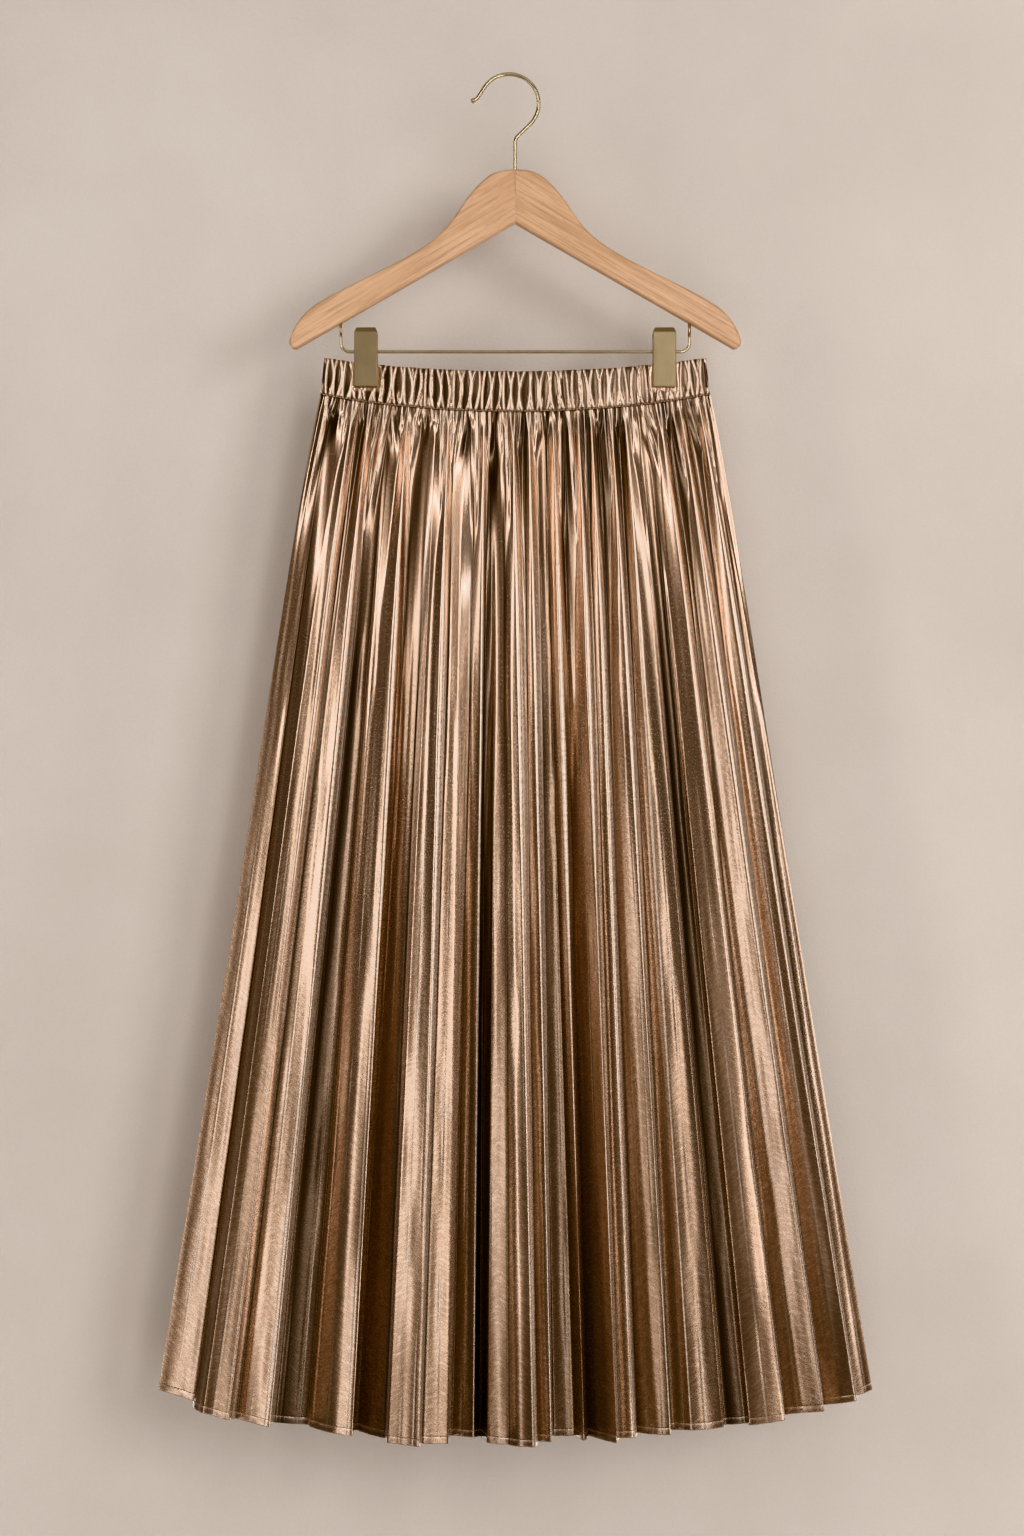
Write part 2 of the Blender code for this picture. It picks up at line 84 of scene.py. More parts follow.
# Fold lines of the front panel at the hem, in millimetres: across, and out from the middle plane. shade
# is how much painted shade the face after the fold gets, from 0 to 1, as pleats tuck in behind each other.
# Below 0 it is how strong a painted highlight lies on a pleat's turned side.
FRONT_FOLDS = table(
    Fold,
    (-339, 0, 0.5), (-303, 12, 0.3), (-291, 54, 0.68), (-266, 63, -0.15), (-260, 46, 0.4),
    (-228, 58, -0.25), (-226, 30, 1), (-208, 28, 0.8), (-195, 26, 0.1), (-189, 36, 0.5),
    (-151, 61, 0.2), (-149, 30, 0.78), (-121, 58, -0.3), (-118, 80, 0.5), (-88, 96, -0.3),
    (-86, 74, 0.6), (-62, 71, -0.2), (-60, 30, 0.75), (-39, 37, 1), (-33, 30, 1), (-26, 60, 0.6),
    (-6, 70, 0.34), (17, 83, -0.3), (19, 50, 0.7), (34, 57, -0.3), (36, 30, 0.82), (56, 29, 0.6),
    (64, 55, 0.7), (67, 30, 0.58), (94, 76, -0.2), (97, 50, 0.62), (111, 53, -0.3), (114, 30, 0.7),
    (145, 52, -0.2), (147, 29, 0.74), (165, 40, 0.7), (195, 37, -0.2), (197, 27, 1), (217, 28, 0),
    (219, 40, 0.4), (252, 44, -0.2), (254, 21, 0.54), (289, 42, -0.2), (291, 15, 0), (320, 30, -0.2),
    (322, 9, 0), (339, 0, 0),
)

# --- Fine form of the cloth ---
PANEL_ROWS = 100
ROW_CROWDING = 1.6  # above 1, rows stand closer together near the waist
COLUMN_STEP = 2.0 * MM  # along the hem, clear of the folds
BESIDE_FOLD = (0.5 * MM, 1.3 * MM)  # further columns on each side of a fold
FINE_STEP = 0.6 * MM  # along the hem, for rounding the folds
PRESSED_ROUNDING = 0.8 * MM  # of a fold at the hem
WAIST_ROUNDING = 3.5 * MM  # added to it near the waist
SOFT_ROUNDING = 1.2 * MM  # of gathers and of the edges of shade
ROUNDING_FALL = 0.22  # share of the length over which that goes
GATHER_SPACING = 24.0 * MM  # along the hem; the waist is about a third as wide
GATHER_HEIGHT = 4.8 * MM
GATHER_MERGES = (0.04, 0.06, 0.09, 0.20)  # shares of the length at which the small ones end
FORK_GAP = 6.5 * MM  # half the gap of a gather that forks at the seam, along the hem
CREST_HALF_WIDTH = 0.7 * MM  # of the painted highlight along the ridge of a gather
FACE_BOW = 2.8 * MM
RECESS_REACH = 42.0 * MM  # along the hem, within which folds give a recess painted shade
RECESS_DEPTH = 20.0 * MM  # a recess as deep as this at the hem gets full painted shade
WAIST_RECESS_DEPTH = 1.3 * MM
VALLEY_SHADE_REACH = 2.6 * MM  # along the hem, of the painted shade line at the foot of a pleat
HIP_FULLNESS = 0.013  # the skirt is this share wider than straight flanks would make it
HIP_DROP = 0.15  # at this share of its length
# How dark the painted shade along the seam is.
SEAM_SHADE = 0.95
SEAM_SHADE_REACH = 2.4 * MM  # of the painted shade line along the seam, above and below it
HEM_HEIGHT = 6.6 * MM
HEM_PLY = 0.30 * MM  # the turned hem stands out by a layer of cloth

# Depths of relief too fine for the mesh, as bump.
CREASE_DEPTH = 0.12 * MM
CRINKLE_DEPTH = 0.07 * MM
GRAIN_DEPTH = 0.01 * MM
WOOD_GRAIN_DEPTH = 0.06 * MM
PLASTER_DEPTH = 1.2 * MM

# --- Waistband ---
BAND_GATHERS = 39
BAND_COLUMNS = 1150
BAND_WALL = 2.6 * MM
BAND_GATHER_HEIGHT = 1.3 * MM
BAND_RIDGE = 1.8 * MM  # half the width of a gather's ridge
BAND_DOME = 0.8 * MM
BAND_SHADE = 0.92  # painted shade of the smooth places between the ridges
BAND_PUFF = 1.2 * MM
BAND_PINCH = 1.0 * MM  # the casing is this much thinner at its two edges
BAND_SUNK = 0.9 * MM  # the gathers start this far inside the wall
BAND_END_ROUNDING = 4.0 * MM
BAND_ROW_STEP = 2.2 * MM  # of the flat layout, round the casing
MID_FACE_ROW = 8

# In metres: from one start to the next, from the last start to the line's end, and the thread's
# length, radius and distance from the cloth.
Stitch = namedtuple("Stitch", "pitch end length radius out")
HEM_STITCH = Stitch(3.3 * MM, 4.0 * MM, 2.3 * MM, 0.26 * MM, 0.12 * MM)
SEAM_STITCH = Stitch(3.1 * MM, 4.4 * MM, 2.5 * MM, 0.6 * MM, 1.0 * MM)

# --- Hanger, as in the solids ---
WOOD_THICKNESS = 14.0 * MM
WOOD_ROUNDING = 3.0 * MM
HOOK_RADIUS = 28.0 * MM
HOOK_WIRE = 1.9 * MM
HOOK_CENTRE_X = -5.7 * MM
HOOK_STEM_BEND = 9.0 * MM
HOOK_LEAN = math.radians(46.0)
HOOK_RING_END = math.radians(147.0)
HOOK_LEAD_OUT = 10.3 * MM
HOOK_FLARE = 8.0 * MM
HOOK_FLARE_TURN = math.radians(30.0)
HOOK_BALL = 1.3  # radius of the ball that the hook's tip is upset into, in radii of the wire
BALL_STEPS = 8
WOOD_TOP = -88.8 * MM
STEM_IN_WOOD = 22.0 * MM
BAR_WIRE = 1.6 * MM
BAR_HEIGHT = -261.2 * MM
BAR_HALF_WIDTH = 165.5 * MM
BAR_BEND = 8.0 * MM
LEG_TOP = -220.0 * MM
CLIP_X = 141.5 * MM
CLIP_WIDTH = 22.0 * MM
CLIP_SHEET = 1.1 * MM
CLIP_BOTTOM = -295.0 * MM
SPRING_RADIUS = 2.9 * MM
SPRING_WIRE = 0.55 * MM
SPRING_HALF = CLIP_WIDTH / 2 - 2.4 * MM  # of its length
SPRING_TURNS = 9

Knot = namedtuple("Knot", "across height slope")
# Upper edge of an arm, from the middle out, in millimetres.
ARM_TOP = table(
    Knot,
    (0.0, -88.8, 0.0),
    (20.0, -92.2, -0.42),
    (46.0, -116.5, -1.30),
    (62.0, -139.5, -1.25),
    (92.0, -165.2, -0.62),
    (140.0, -190.6, -0.50),
    (186.0, -214.8, -0.60),
)
# Its end, in millimetres too. Each curve there is drawn to a corner that it cuts.
ARM_TIP = (214.5, -252.0)
ARM_TIP_CORNER_X = 208.5
ARM_FOOT = (207.0, -258.4)
ARM_FOOT_CORNER = (214.2, -259.0)
ARM_LEAN = math.radians(31.0)
ARM_NOTCH = -139.6 * MM

# --- View ---
VIEW_DISTANCE = 2.6
VIEW_CENTRE = (-3.0 * MM, -656.5 * MM)
VIEW_HEIGHT = 1.459  # of the picture, in the hanger's plane
SENSOR = 36.0
WALL_Y = 0.105
WALL_TOP = 2.2
FLOOR_Z = -2.6
STAGE_HALF_WIDTH = 3.2
STAGE_HALF_DEPTH = 4.5


def lerp(start, end, share):
    return start + (end - start) * share


def smooth_step(share):
    share = np.clip(share, 0.0, 1.0)
    return share * share * (3 - 2 * share)


def wander(across, down, seed):
    """Smooth noise from -1 to 1 over lattice coordinates, the same on each run."""
    a, b = np.broadcast_arrays(np.asarray(across, float), np.asarray(down, float))
    lattice = np.random.default_rng(seed).uniform(-1, 1, (257, 257))
    i, j = np.floor(a).astype(int), np.floor(b).astype(int)
    u, v = smooth_step(a - i), smooth_step(b - j)
    i, j, k, m = i % 257, j % 257, (i + 1) % 257, (j + 1) % 257
    top = lerp(lattice[i, j], lattice[k, j], u)
    bottom = lerp(lattice[i, m], lattice[k, m], u)
    return lerp(top, bottom, v)


# --- Meshes ---


def add_object(name, data):
    obj = bpy.data.objects.new(name, data)
    bpy.context.scene.collection.objects.link(obj)
    return obj


def make_object(name, mesh, finish):
    mesh.materials.append(finish)
    obj = add_object(name, mesh)
    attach(obj, "root")
    return obj


def grid_object(name, points, layout, places, finish, flip):
    """A sheet over a grid of points. layout is its flat place in metres, places its named values."""
    rows, columns = points.shape[:2]
    index = np.arange(rows * columns).reshape(rows, columns)
    corners = [index[:-1, :-1], index[:-1, 1:], index[1:, 1:], index[1:, :-1]]
    if flip:
        corners.reverse()
    faces = np.stack(corners, axis=-1).reshape(-1, 4)
    mesh = bpy.data.meshes.new(name)
    mesh.from_pydata(points.reshape(-1, 3).tolist(), [], faces.tolist())
    mesh.shade_smooth()
    uv = mesh.uv_layers.new(name="cloth")
    uv.data.foreach_set("uv", layout.reshape(-1, 2)[faces.reshape(-1)].reshape(-1).astype(np.float32))
    for key, values in places.items():
        layer = mesh.attributes.new(key, "FLOAT", "POINT")
        layer.data.foreach_set("value", values.reshape(-1).astype(np.float32))
    return make_object(name, mesh, finish)


def path_steps(points):
    """Length of each step along a line of points."""
    return np.linalg.norm(np.diff(points, axis=0), axis=1)


def stitches_object(name, stitch, start, end, at, finish):
    """Short rounded threads along a line in one mesh. at gives the points for places on the line."""
    places = np.linspace(start + 2 * MM, end - stitch.end, int((end - start) / stitch.pitch))
    starts = at(places)
    along = at(places + stitch.length) - starts
    length = np.linalg.norm(along, axis=1, keepdims=True)
    along = along / length
    up = np.cross(along, np.array([0.0, 0.0, 1.0]))
    up /= np.linalg.norm(up, axis=1, keepdims=True)
    side = np.cross(along, up)
    sides, rings = 6, ((0.0, 0.35), (0.12, 1.0), (0.88, 1.0), (1.0, 0.35))
    points = []
    for place, swell in rings:
        for k in range(sides):
            angle = 2 * math.pi * k / sides
            rim = (up * math.cos(angle) + side * math.sin(angle)) * stitch.radius * swell
            points.append(starts + along * length * place + rim)
    points = np.stack(points, axis=1)
    faces = []
    for low in range(0, (len(rings) - 1) * sides, sides):
        for k in range(sides):
            n = (k + 1) % sides
            faces.append((low + k, low + n, low + sides + n, low + sides + k))
    faces.append(tuple(range(sides))[::-1])
    faces.append(tuple((len(rings) - 1) * sides + k for k in range(sides)))
    per = points.shape[1]
    whole = [tuple(per * i + c for c in face) for i in range(len(starts)) for face in faces]
    mesh = bpy.data.meshes.new(name)
    mesh.from_pydata(points.reshape(-1, 3).tolist(), [], whole)
    mesh.shade_smooth()
    return make_object(name, mesh, finish)


# --- Form of the cloth ---


def seam_height(x):
    return SEAM_AT_ENDS - SEAM_SAG * (1 - (x / SEAM_HALF_WIDTH) ** 2)


def band_top(x):
    return BAND_TOP_AT_ENDS - BAND_TOP_SAG * (1 - (x / SEAM_HALF_WIDTH) ** 2)


def band_out(x):
    """How far the waistband's wall stands from the middle plane."""
    inner, outer = CLIP_X - PINCH_HALF_WIDTH, CLIP_X + PINCH_HALF_WIDTH
    x = np.abs(x)
    open_part = BAND_BULGE * np.clip(1 - (x / inner) ** 2, 0, None)
    beyond = np.clip((x - outer) / (BAND_HALF_WIDTH - outer), 0, 1)
    return BAND_PINCHED_OUT + open_part + (BAND_SIDE_OUT - BAND_PINCHED_OUT) * beyond


def pressed(x, z):
    """0 under a clip's jaws, where the cloth is held flat, rising to 1 clear of them."""
    beside = (np.abs(np.abs(x) - CLIP_X) - CLIP_WIDTH / 2) / (5.0 * MM)
    below = (CLIP_BOTTOM - 1.0 * MM - z) / (4.0 * MM)
    return smooth_step(np.maximum(beside, below))


def rounded(values, spread):
    """Each row of values smoothed along it by a bell of the row's own spread, its ends kept."""
    out = np.empty_like(values)
    for row, width in enumerate(spread):
        reach = int(math.ceil(3 * width)) + 1
        bell = np.exp(-0.5 * (np.arange(-reach, reach + 1) / max(width, 0.05)) ** 2)
        line = values[row]
        left = 2 * line[0] - line[reach:0:-1]
        right = 2 * line[-1] - line[-2 : -reach - 2 : -1]
        out[row] = np.convolve(np.concatenate((left, line, right)), bell / bell.sum(), "valid")
    return out


def ridge_places(run, out):
    """Where along the hem the pleats stand furthest out."""
    peaks = [i for i in range(1, len(out) - 1) if out[i] >= out[i - 1] and out[i] > out[i + 1]]
    return run[peaks]


def gather_ridges(run, out, rng):
    """Gathers at the seam: place along it, the pleat's ridge it runs into, and whether it is that ridge."""
    ridges = ridge_places(run, out)
    edges = np.concatenate(([run[0]], ridges, [run[-1]]))
    gathers = [(ridge, ridge, True) for ridge in ridges]
    for left, right in zip(edges, edges[1:]):
        count = max(int(round((right - left) / GATHER_SPACING)) - 1, 0)
        for k in range(count):
            place = lerp(left, right, (k + 1 + rng.uniform(-0.18, 0.18)) / (count + 1))
            gathers.append((place, left if place - left < right - place else right, False))
    return gathers


def gather_field(along, drops, run, out, seed):
    """Height of the gathers, and a painted highlight along their crests, from 0 to 1."""
    rng = np.random.default_rng(seed)
    field = np.zeros((len(drops), len(along)))
    painted_highlight = np.zeros_like(field)
    down = drops[:, None]
    crest_reach = CREST_HALF_WIDTH / lerp(2 * SEAM_HALF_WIDTH / run[-1], 1.0, down)
    for place, ridge, main in gather_ridges(run, out, rng):
        merge = rng.uniform(0.55, 0.85) if main else rng.choice(GATHER_MERGES) * rng.uniform(0.8, 1.2)
        tall = rng.uniform(1.0, 1.3) if main else rng.uniform(0.6, 1.0)
        width = GATHER_SPACING * rng.uniform(0.6, 0.85)
        wider = 1 + (0.9 if main else 0.3) * smooth_step(down / 0.25)
        height = tall * (0.4 + 0.6 * smooth_step(down / 0.03)) * (1 - smooth_step(down / merge))
        close = rng.uniform(0.02, 0.06)
        forked = rng.uniform() < 0.4
        for prong in (-1, 1) if forked else (0,):
            line = lerp(place, ridge, 0.62 * smooth_step(down / merge))
            line = line + prong * FORK_GAP * rng.uniform(0.6, 1.1) * (1 - smooth_step(down / close))
            narrow = 1 - 0.45 * abs(prong) * (1 - smooth_step(down / close))
            away = np.abs(along - line)
            bump = np.clip(1 - away / (width * wider * narrow), 0, None) ** 1.2
            field = np.maximum(field, bump * height)
            strong = 0.9 if main else 0.6 * (1 - smooth_step(down / merge))
            # A painted highlight along the gather's ridge, stronger on the main gathers.
            painted_highlight = np.maximum(painted_highlight, np.clip(1.5 * (1 - away / crest_reach), 0, 1) * strong)
    return (field - 0.3 * (1 - smooth_step(down / 0.45))) * GATHER_HEIGHT, painted_highlight


def panel_form(folds, seed):
    """Fine form of a panel. Places along the hem and down it, the folds' places along the hem, then
    across, out, height, painted shade and painted highlight at each."""
    across = np.array([f.across for f in folds]) * MM
    out = np.array([f.out for f in folds]) * MM
    run = np.concatenate(([0.0], np.cumsum(np.hypot(np.diff(across), np.diff(out)))))
    total = run[-1]
    along = np.linspace(0, total, int(total / FINE_STEP) + 1)
    drops = np.linspace(0, 1, PANEL_ROWS) ** ROW_CROWDING
    down = drops[:, None]
    waist_x = SEAM_HALF_WIDTH * (2 * along / total - 1)
    waist_out = band_out(waist_x) * smooth_step((SEAM_HALF_WIDTH - np.abs(waist_x)) / (6 * MM))
    hem_x, hem_out = np.interp(along, run, across), np.interp(along, run, out)
    fall = np.sqrt(SKIRT_LENGTH**2 - (hem_x - waist_x) ** 2 - (hem_out - waist_out) ** 2)
    fall = fall - SIDE_LIFT * np.clip((np.abs(hem_x) / HEM_HALF_WIDTH - 0.67) / 0.33, 0, 1)
    fuller = 1 + HIP_FULLNESS * down / HIP_DROP * np.exp(1 - down / HIP_DROP)
    x = lerp(waist_x, hem_x, down) * fuller
    stand = lerp(waist_out, hem_out, down)
    z = seam_height(waist_x) - fall * down
    spread = (PRESSED_ROUNDING + WAIST_ROUNDING * np.exp(-drops / ROUNDING_FALL)) / FINE_STEP
    x, stand = rounded(x, spread), rounded(stand, spread)

    # Each pleat face bows a little, one way or the other, and soft swells run down the cloth.
    face = np.clip(np.searchsorted(run, along, side="right") - 1, 0, len(run) - 2)
    inside = (along - run[face]) / (run[face + 1] - run[face])
    bows = np.random.default_rng(seed + 1).uniform(-0.7, 1.0, len(run))
    wide = np.clip((run[face + 1] - run[face]) / (32 * MM), 0, 1.3)
    bow = FACE_BOW * bows[face] * wide * np.sin(math.pi * inside) * down**0.6
    bow = bow * (1 + 0.7 * wander(face * 5.3 + 0.5, down * 4, seed + 6))
    swell = 0.6 * MM * wander(along / (30 * MM), down * 3.5 + along * 4, seed + 2)
    swell = swell * (1 - 0.6 * smooth_step(down / 0.75)) * smooth_step(down / 0.03)
    ripple = 0.2 * MM * wander(along / (7 * MM), down * 15, seed + 7) * smooth_step(down / 0.35)
    tuck = 0.6 * MM * wander(along / (8 * MM), down * 60, seed + 4)
    tuck = tuck * (1 - smooth_step(down / 0.04))
    gather, painted_highlight = gather_field(along, drops, run, out, seed + 10)
    soft = np.full(len(drops), SOFT_ROUNDING / FINE_STEP)
    lift = rounded(gather + tuck, soft) + swell + bow + ripple
    at_side = smooth_step(np.minimum(along, total - along) / (9 * MM))
    lift = lift * at_side * pressed(x, z)

    tangent_x, tangent_out = np.gradient(x, axis=1), np.gradient(stand, axis=1)
    size = np.hypot(tangent_x, tangent_out)
    turn = smooth_step(down / 0.25)  # near the waist the gathers stand straight out
    normal_x = -tangent_out / size * turn
    normal_out = lerp(1.0, tangent_x / size, turn)
    x, stand = x + normal_x * lift, stand + normal_out * lift
    stand = np.maximum(stand, 0.0)
    # Painted shade: in recesses behind the folds, on each face by its shade, in a line at the foot of each
    # pleat and along the seam.
    deepest = lerp(WAIST_RECESS_DEPTH * (0.5 + 0.5 * smooth_step(down / 0.04)), RECESS_DEPTH, down)
    hollow_painted_shade = np.clip(recess(stand) / deepest, 0, 1)
    shades = np.array([f.shade for f in folds])[face]
    shades = rounded(np.broadcast_to(shades, stand.shape), soft)
    # Turned sides whose shade is below 0 get a painted highlight.
    painted_highlight = np.maximum(painted_highlight, np.clip(-2.2 * shades, 0, 1) * smooth_step(down / 0.35))
    shades = np.clip(shades, 0, 1)
    uneven = 0.85 + 0.25 * wander(along / (38 * MM), down * 3, seed + 8)
    # Halfway down, the faces in half painted shade get less of it.
    paler = lerp(0.8 + 0.2 * smooth_step((down - 0.45) / 0.3), 1, shades**4)
    faces_shade = shades * paler * (0.9 + 0.1 * hollow_painted_shade)
    hollow_painted_shade = lerp(hollow_painted_shade * uneven, faces_shade, smooth_step(down / 0.32))
    valleys = run[1:-1][~turns_out(across, out)]
    to_valley = np.abs(along[:, None] - valleys[None, :]).min(axis=1)
    painted_valley_shade = np.clip(1.5 - to_valley * lerp(0.45, 1.0, down) / VALLEY_SHADE_REACH, 0, 1)
    painted_valley_shade = painted_valley_shade * smooth_step(down / 0.15)
    hollow_painted_shade = np.maximum(hollow_painted_shade, painted_valley_shade * lerp(0.95, 0.8, down))
    at_seam = 1 - smooth_step(down * SKIRT_LENGTH / SEAM_SHADE_REACH)
    hollow_painted_shade, painted_highlight = np.maximum(hollow_painted_shade, SEAM_SHADE * at_seam), painted_highlight * (1 - at_seam)
    return along, drops, run, x, stand, z, hollow_painted_shade, painted_highlight


def recess(stand):
    """How far each place lies behind the lower of the folds that stand beside it."""
    reach = int(RECESS_REACH / FINE_STEP)
    padded = np.pad(stand, ((0, 0), (reach, reach)))
    windows = np.lib.stride_tricks.sliding_window_view(padded, reach + 1, axis=1).max(axis=-1)
    left, right = windows[:, : stand.shape[1]], windows[:, reach : reach + stand.shape[1]]
    return np.minimum(left, right) - stand


def turns_out(across, out):
    """For each inner fold line, whether it is a ridge rather than a valley."""
    x, y = np.diff(across), np.diff(out)
    return x[:-1] * y[1:] - y[:-1] * x[1:] < 0


def at_columns(along, columns, values):
    return np.stack([np.interp(columns, along, row) for row in values])


def panel_columns(run):
    """Places along the hem of the mesh's columns: on and beside each fold, and evenly between."""
    places = [run[-1]]
    for left, right in zip(run, run[1:]):
        beside = [step for step in (0.0, *BESIDE_FOLD) if step < (right - left) * 0.4]
        places += [left + step for step in beside] + [right - step for step in beside[1:]]
        start, end = left + beside[-1], right - beside[-1]
        count = int((end - start) / COLUMN_STEP)
        places += [lerp(start, end, (k + 1) / (count + 1)) for k in range(count)]
    return np.array(sorted(places))


HemRow = namedtuple("HemRow", "height plies worn")
# Rows of the turned hem, in millimetres: height above the hem's edge, how far the face stands out
# in plies, and how strong a painted glint lies on its foil. The last ones run up again inside.
HEM_ROWS = table(
    HemRow,
    (7.6, 0.0, 0.0),
    (6.9, -0.1, 0.0),
    (6.6, -0.55, 0.0),
    (6.2, 0.55, 0.5),
    (5.4, 1.0, 0.2),
    (3.3, 1.15, 0.0),
    (1.2, 1.1, 0.1),
    (0.5, 0.9, 0.6),
    (0.1, 0.3, 0.9),
    (0.0, -0.8, 0.9),
    (0.3, -1.9, 0.3),
    (1.5, -2.3, 0.0),
    (6.3, -2.3, 0.0),
)
HEM_INSIDE = -1.9  # plies, from here on a row lies inside the hem
HEM_STITCHED_ROW = 2  # of them


def make_panel(name, node, folds, facing, seed, finish, thread):
    """A panel of the skirt with its turned hem. facing is -1 for the front and 1 for the back."""
    along, drops, run, *form = panel_form(folds, seed)
    columns = panel_columns(run)
    x, out, z, hollow_painted_shade, painted_highlight = (at_columns(along, columns, values) for values in form)
    tangent_x, tangent_out = np.gradient(x[-1], columns), np.gradient(out[-1], columns)
    size = np.hypot(tangent_x, tangent_out)
    normal_x, normal_out = -tangent_out / size, tangent_x / size
    keep = drops < 1 - HEM_ROWS[0].height * MM / SKIRT_LENGTH - 0.002
    rows = [(x[i], out[i], z[i], drops[i] * SKIRT_LENGTH) for i in np.nonzero(keep)[0]]
    for row in HEM_ROWS:
        share = 1 - row.height * MM / SKIRT_LENGTH
        last, low, high = (np.array([np.interp(share, drops, v) for v in form.T]) for form in (x, out, z))
        offset = row.plies * HEM_PLY
        stand = np.maximum(low + normal_out * offset, 0.0)
        inward = (HEM_HEIGHT * 2 if row.plies <= HEM_INSIDE else 0.0) + share * SKIRT_LENGTH
        rows.append((last + normal_x * offset, stand, high, inward))
    shade = np.concatenate((hollow_painted_shade[keep], np.repeat(hollow_painted_shade[-1:], len(HEM_ROWS), axis=0)))
    # Painted glints along the hem's folded edge and the top of its turn, broken along it.
    broken = np.clip(0.65 + 0.5 * wander(columns / (9 * MM), 0.5, seed + 9), 0, 1)
    worn = np.array([row.worn for row in HEM_ROWS])[:, None] * broken
    painted_highlight = np.concatenate((painted_highlight[keep], np.maximum(painted_highlight[-1:], worn)))
    points = np.stack([np.stack((r[0] * -facing, r[1] * facing, r[2]), axis=-1) for r in rows])
    down = np.array([r[3] for r in rows])[:, None] * np.ones(len(columns))
    from_fold = np.abs(columns[:, None] - run[None, 1:-1]).min(axis=1)
    # The recess attribute carries the painted shade, the one after it the painted highlights.
    places = {
        "fold_distance": np.broadcast_to(from_fold, down.shape),
        "recess": shade,
        "painted_highlight": painted_highlight,
        "drop": down / SKIRT_LENGTH,
    }
    layout = np.stack((np.broadcast_to(columns, down.shape), down), axis=-1)
    panel = grid_object(name, points, layout, places, finish, flip=facing > 0)
    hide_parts(node)

    hem = points[HEM_STITCHED_ROW - len(HEM_ROWS)] + np.array([0.0, facing * HEM_STITCH.out, 0.0])
    path = np.concatenate(([0.0], np.cumsum(path_steps(hem))))

    def at(places):
        return np.stack([np.interp(places, path, hem[:, c]) for c in range(3)], axis=-1)

    stitches = stitches_object(name + "_hem_stitches", HEM_STITCH, 0.0, path[-1], at, thread)
    down_steps, across_steps = points[1:, :-1] - points[:-1, :-1], points[:-1, 1:] - points[:-1, :-1]
    area = np.linalg.norm(np.cross(down_steps, across_steps), axis=-1).sum()


def band_leaves(seed):
    """The casing's gathers: middle at the seam and at the top, half width, bow, height and dome."""
    rng = np.random.default_rng(seed)
    leaves = []
    for k in range(BAND_GATHERS):
        middle = (k + 0.5) / BAND_GATHERS
        low, high = middle + rng.uniform(-0.22, 0.22, 2) / BAND_GATHERS
        wide = rng.uniform(0.36, 0.54) / BAND_GATHERS
        bend = rng.uniform(-0.18, 0.18) / BAND_GATHERS
        leaves.append((low, high, wide, bend, rng.uniform(0.6, 1.1), rng.uniform(0.2, 1.0)))
    return leaves


def band_puckers(seed):
    """Short puckers between the leaves: middle, lean, start, end and height."""
    rng = np.random.default_rng(seed + 1)
    puckers = []
    for k in range(BAND_GATHERS):
        middle = (k + rng.uniform(-0.15, 0.15)) / BAND_GATHERS
        lean = rng.uniform(-0.5, 0.5) / BAND_GATHERS
        puckers.append((middle, lean, 0.0, rng.uniform(0.2, 0.42), rng.uniform(0.6, 0.9)))
        if rng.uniform() < 0.45:
            puckers.append((middle, -lean, rng.uniform(0.66, 0.84), 1.0, rng.uniform(0.5, 0.7)))
    return puckers


def band_field(share, height, seed):
    """The casing's gathers, from 0 to 1: ridges round leaves that narrow up and down, and their domes."""
    field = np.zeros(np.broadcast(share, height).shape)
    domes = np.zeros_like(field)
    narrow = 0.45 + 0.55 * np.sin(math.pi * np.clip(height, 0, 1)) ** 0.8
    ridge = BAND_RIDGE / (2 * BAND_HALF_WIDTH)
    for low, high, wide, bend, tall, dome in band_leaves(seed):
        place = lerp(low, high, height) + bend * np.sin(math.pi * height)
        away = np.abs(np.abs(share - place) - wide * narrow) / ridge
        field = np.maximum(field, tall * smooth_step(1 - away))
        domes = np.maximum(domes, dome * np.clip(1 - ((share - place) / (wide * narrow)) ** 2, 0, 1))
    for middle, lean, start, end, tall in band_puckers(seed):
        reach = (height - start) / (end - start)
        from_edge = np.where(start > 0, reach, 1 - reach)
        place = middle + lean * (1 - from_edge) * 0.5
        fade = np.where((reach >= 0) & (reach <= 1), tall * np.clip(from_edge, 0, 1) ** 0.6, 0.0)
        away = np.abs(share - place) / ridge
        field = np.maximum(field, fade * smooth_step(1 - away))
    return field, domes


BandRow = namedtuple("BandRow", "height side")
# Rows round the casing, up its face, over its top edge and down inside: share of the height, and
# the side of the wall, from 1 on the face to -1 inside.
BAND_ROWS = (
    *(BandRow(h, 1.0) for h in (0.0, 0.03, 0.07, 0.12, 0.18, 0.25, 0.33, 0.41, 0.5, 0.59)),
    *(BandRow(h, 1.0) for h in (0.67, 0.75, 0.82, 0.88, 0.93, 0.965)),
    BandRow(0.985, 0.85),
    BandRow(0.996, 0.5),
    BandRow(1.0, 0.0),
    BandRow(0.996, -0.5),
    BandRow(0.985, -0.85),
    *(BandRow(h, -1.0) for h in (0.95, 0.85, 0.7, 0.5, 0.3, 0.15, 0.05, 0.0)),
)


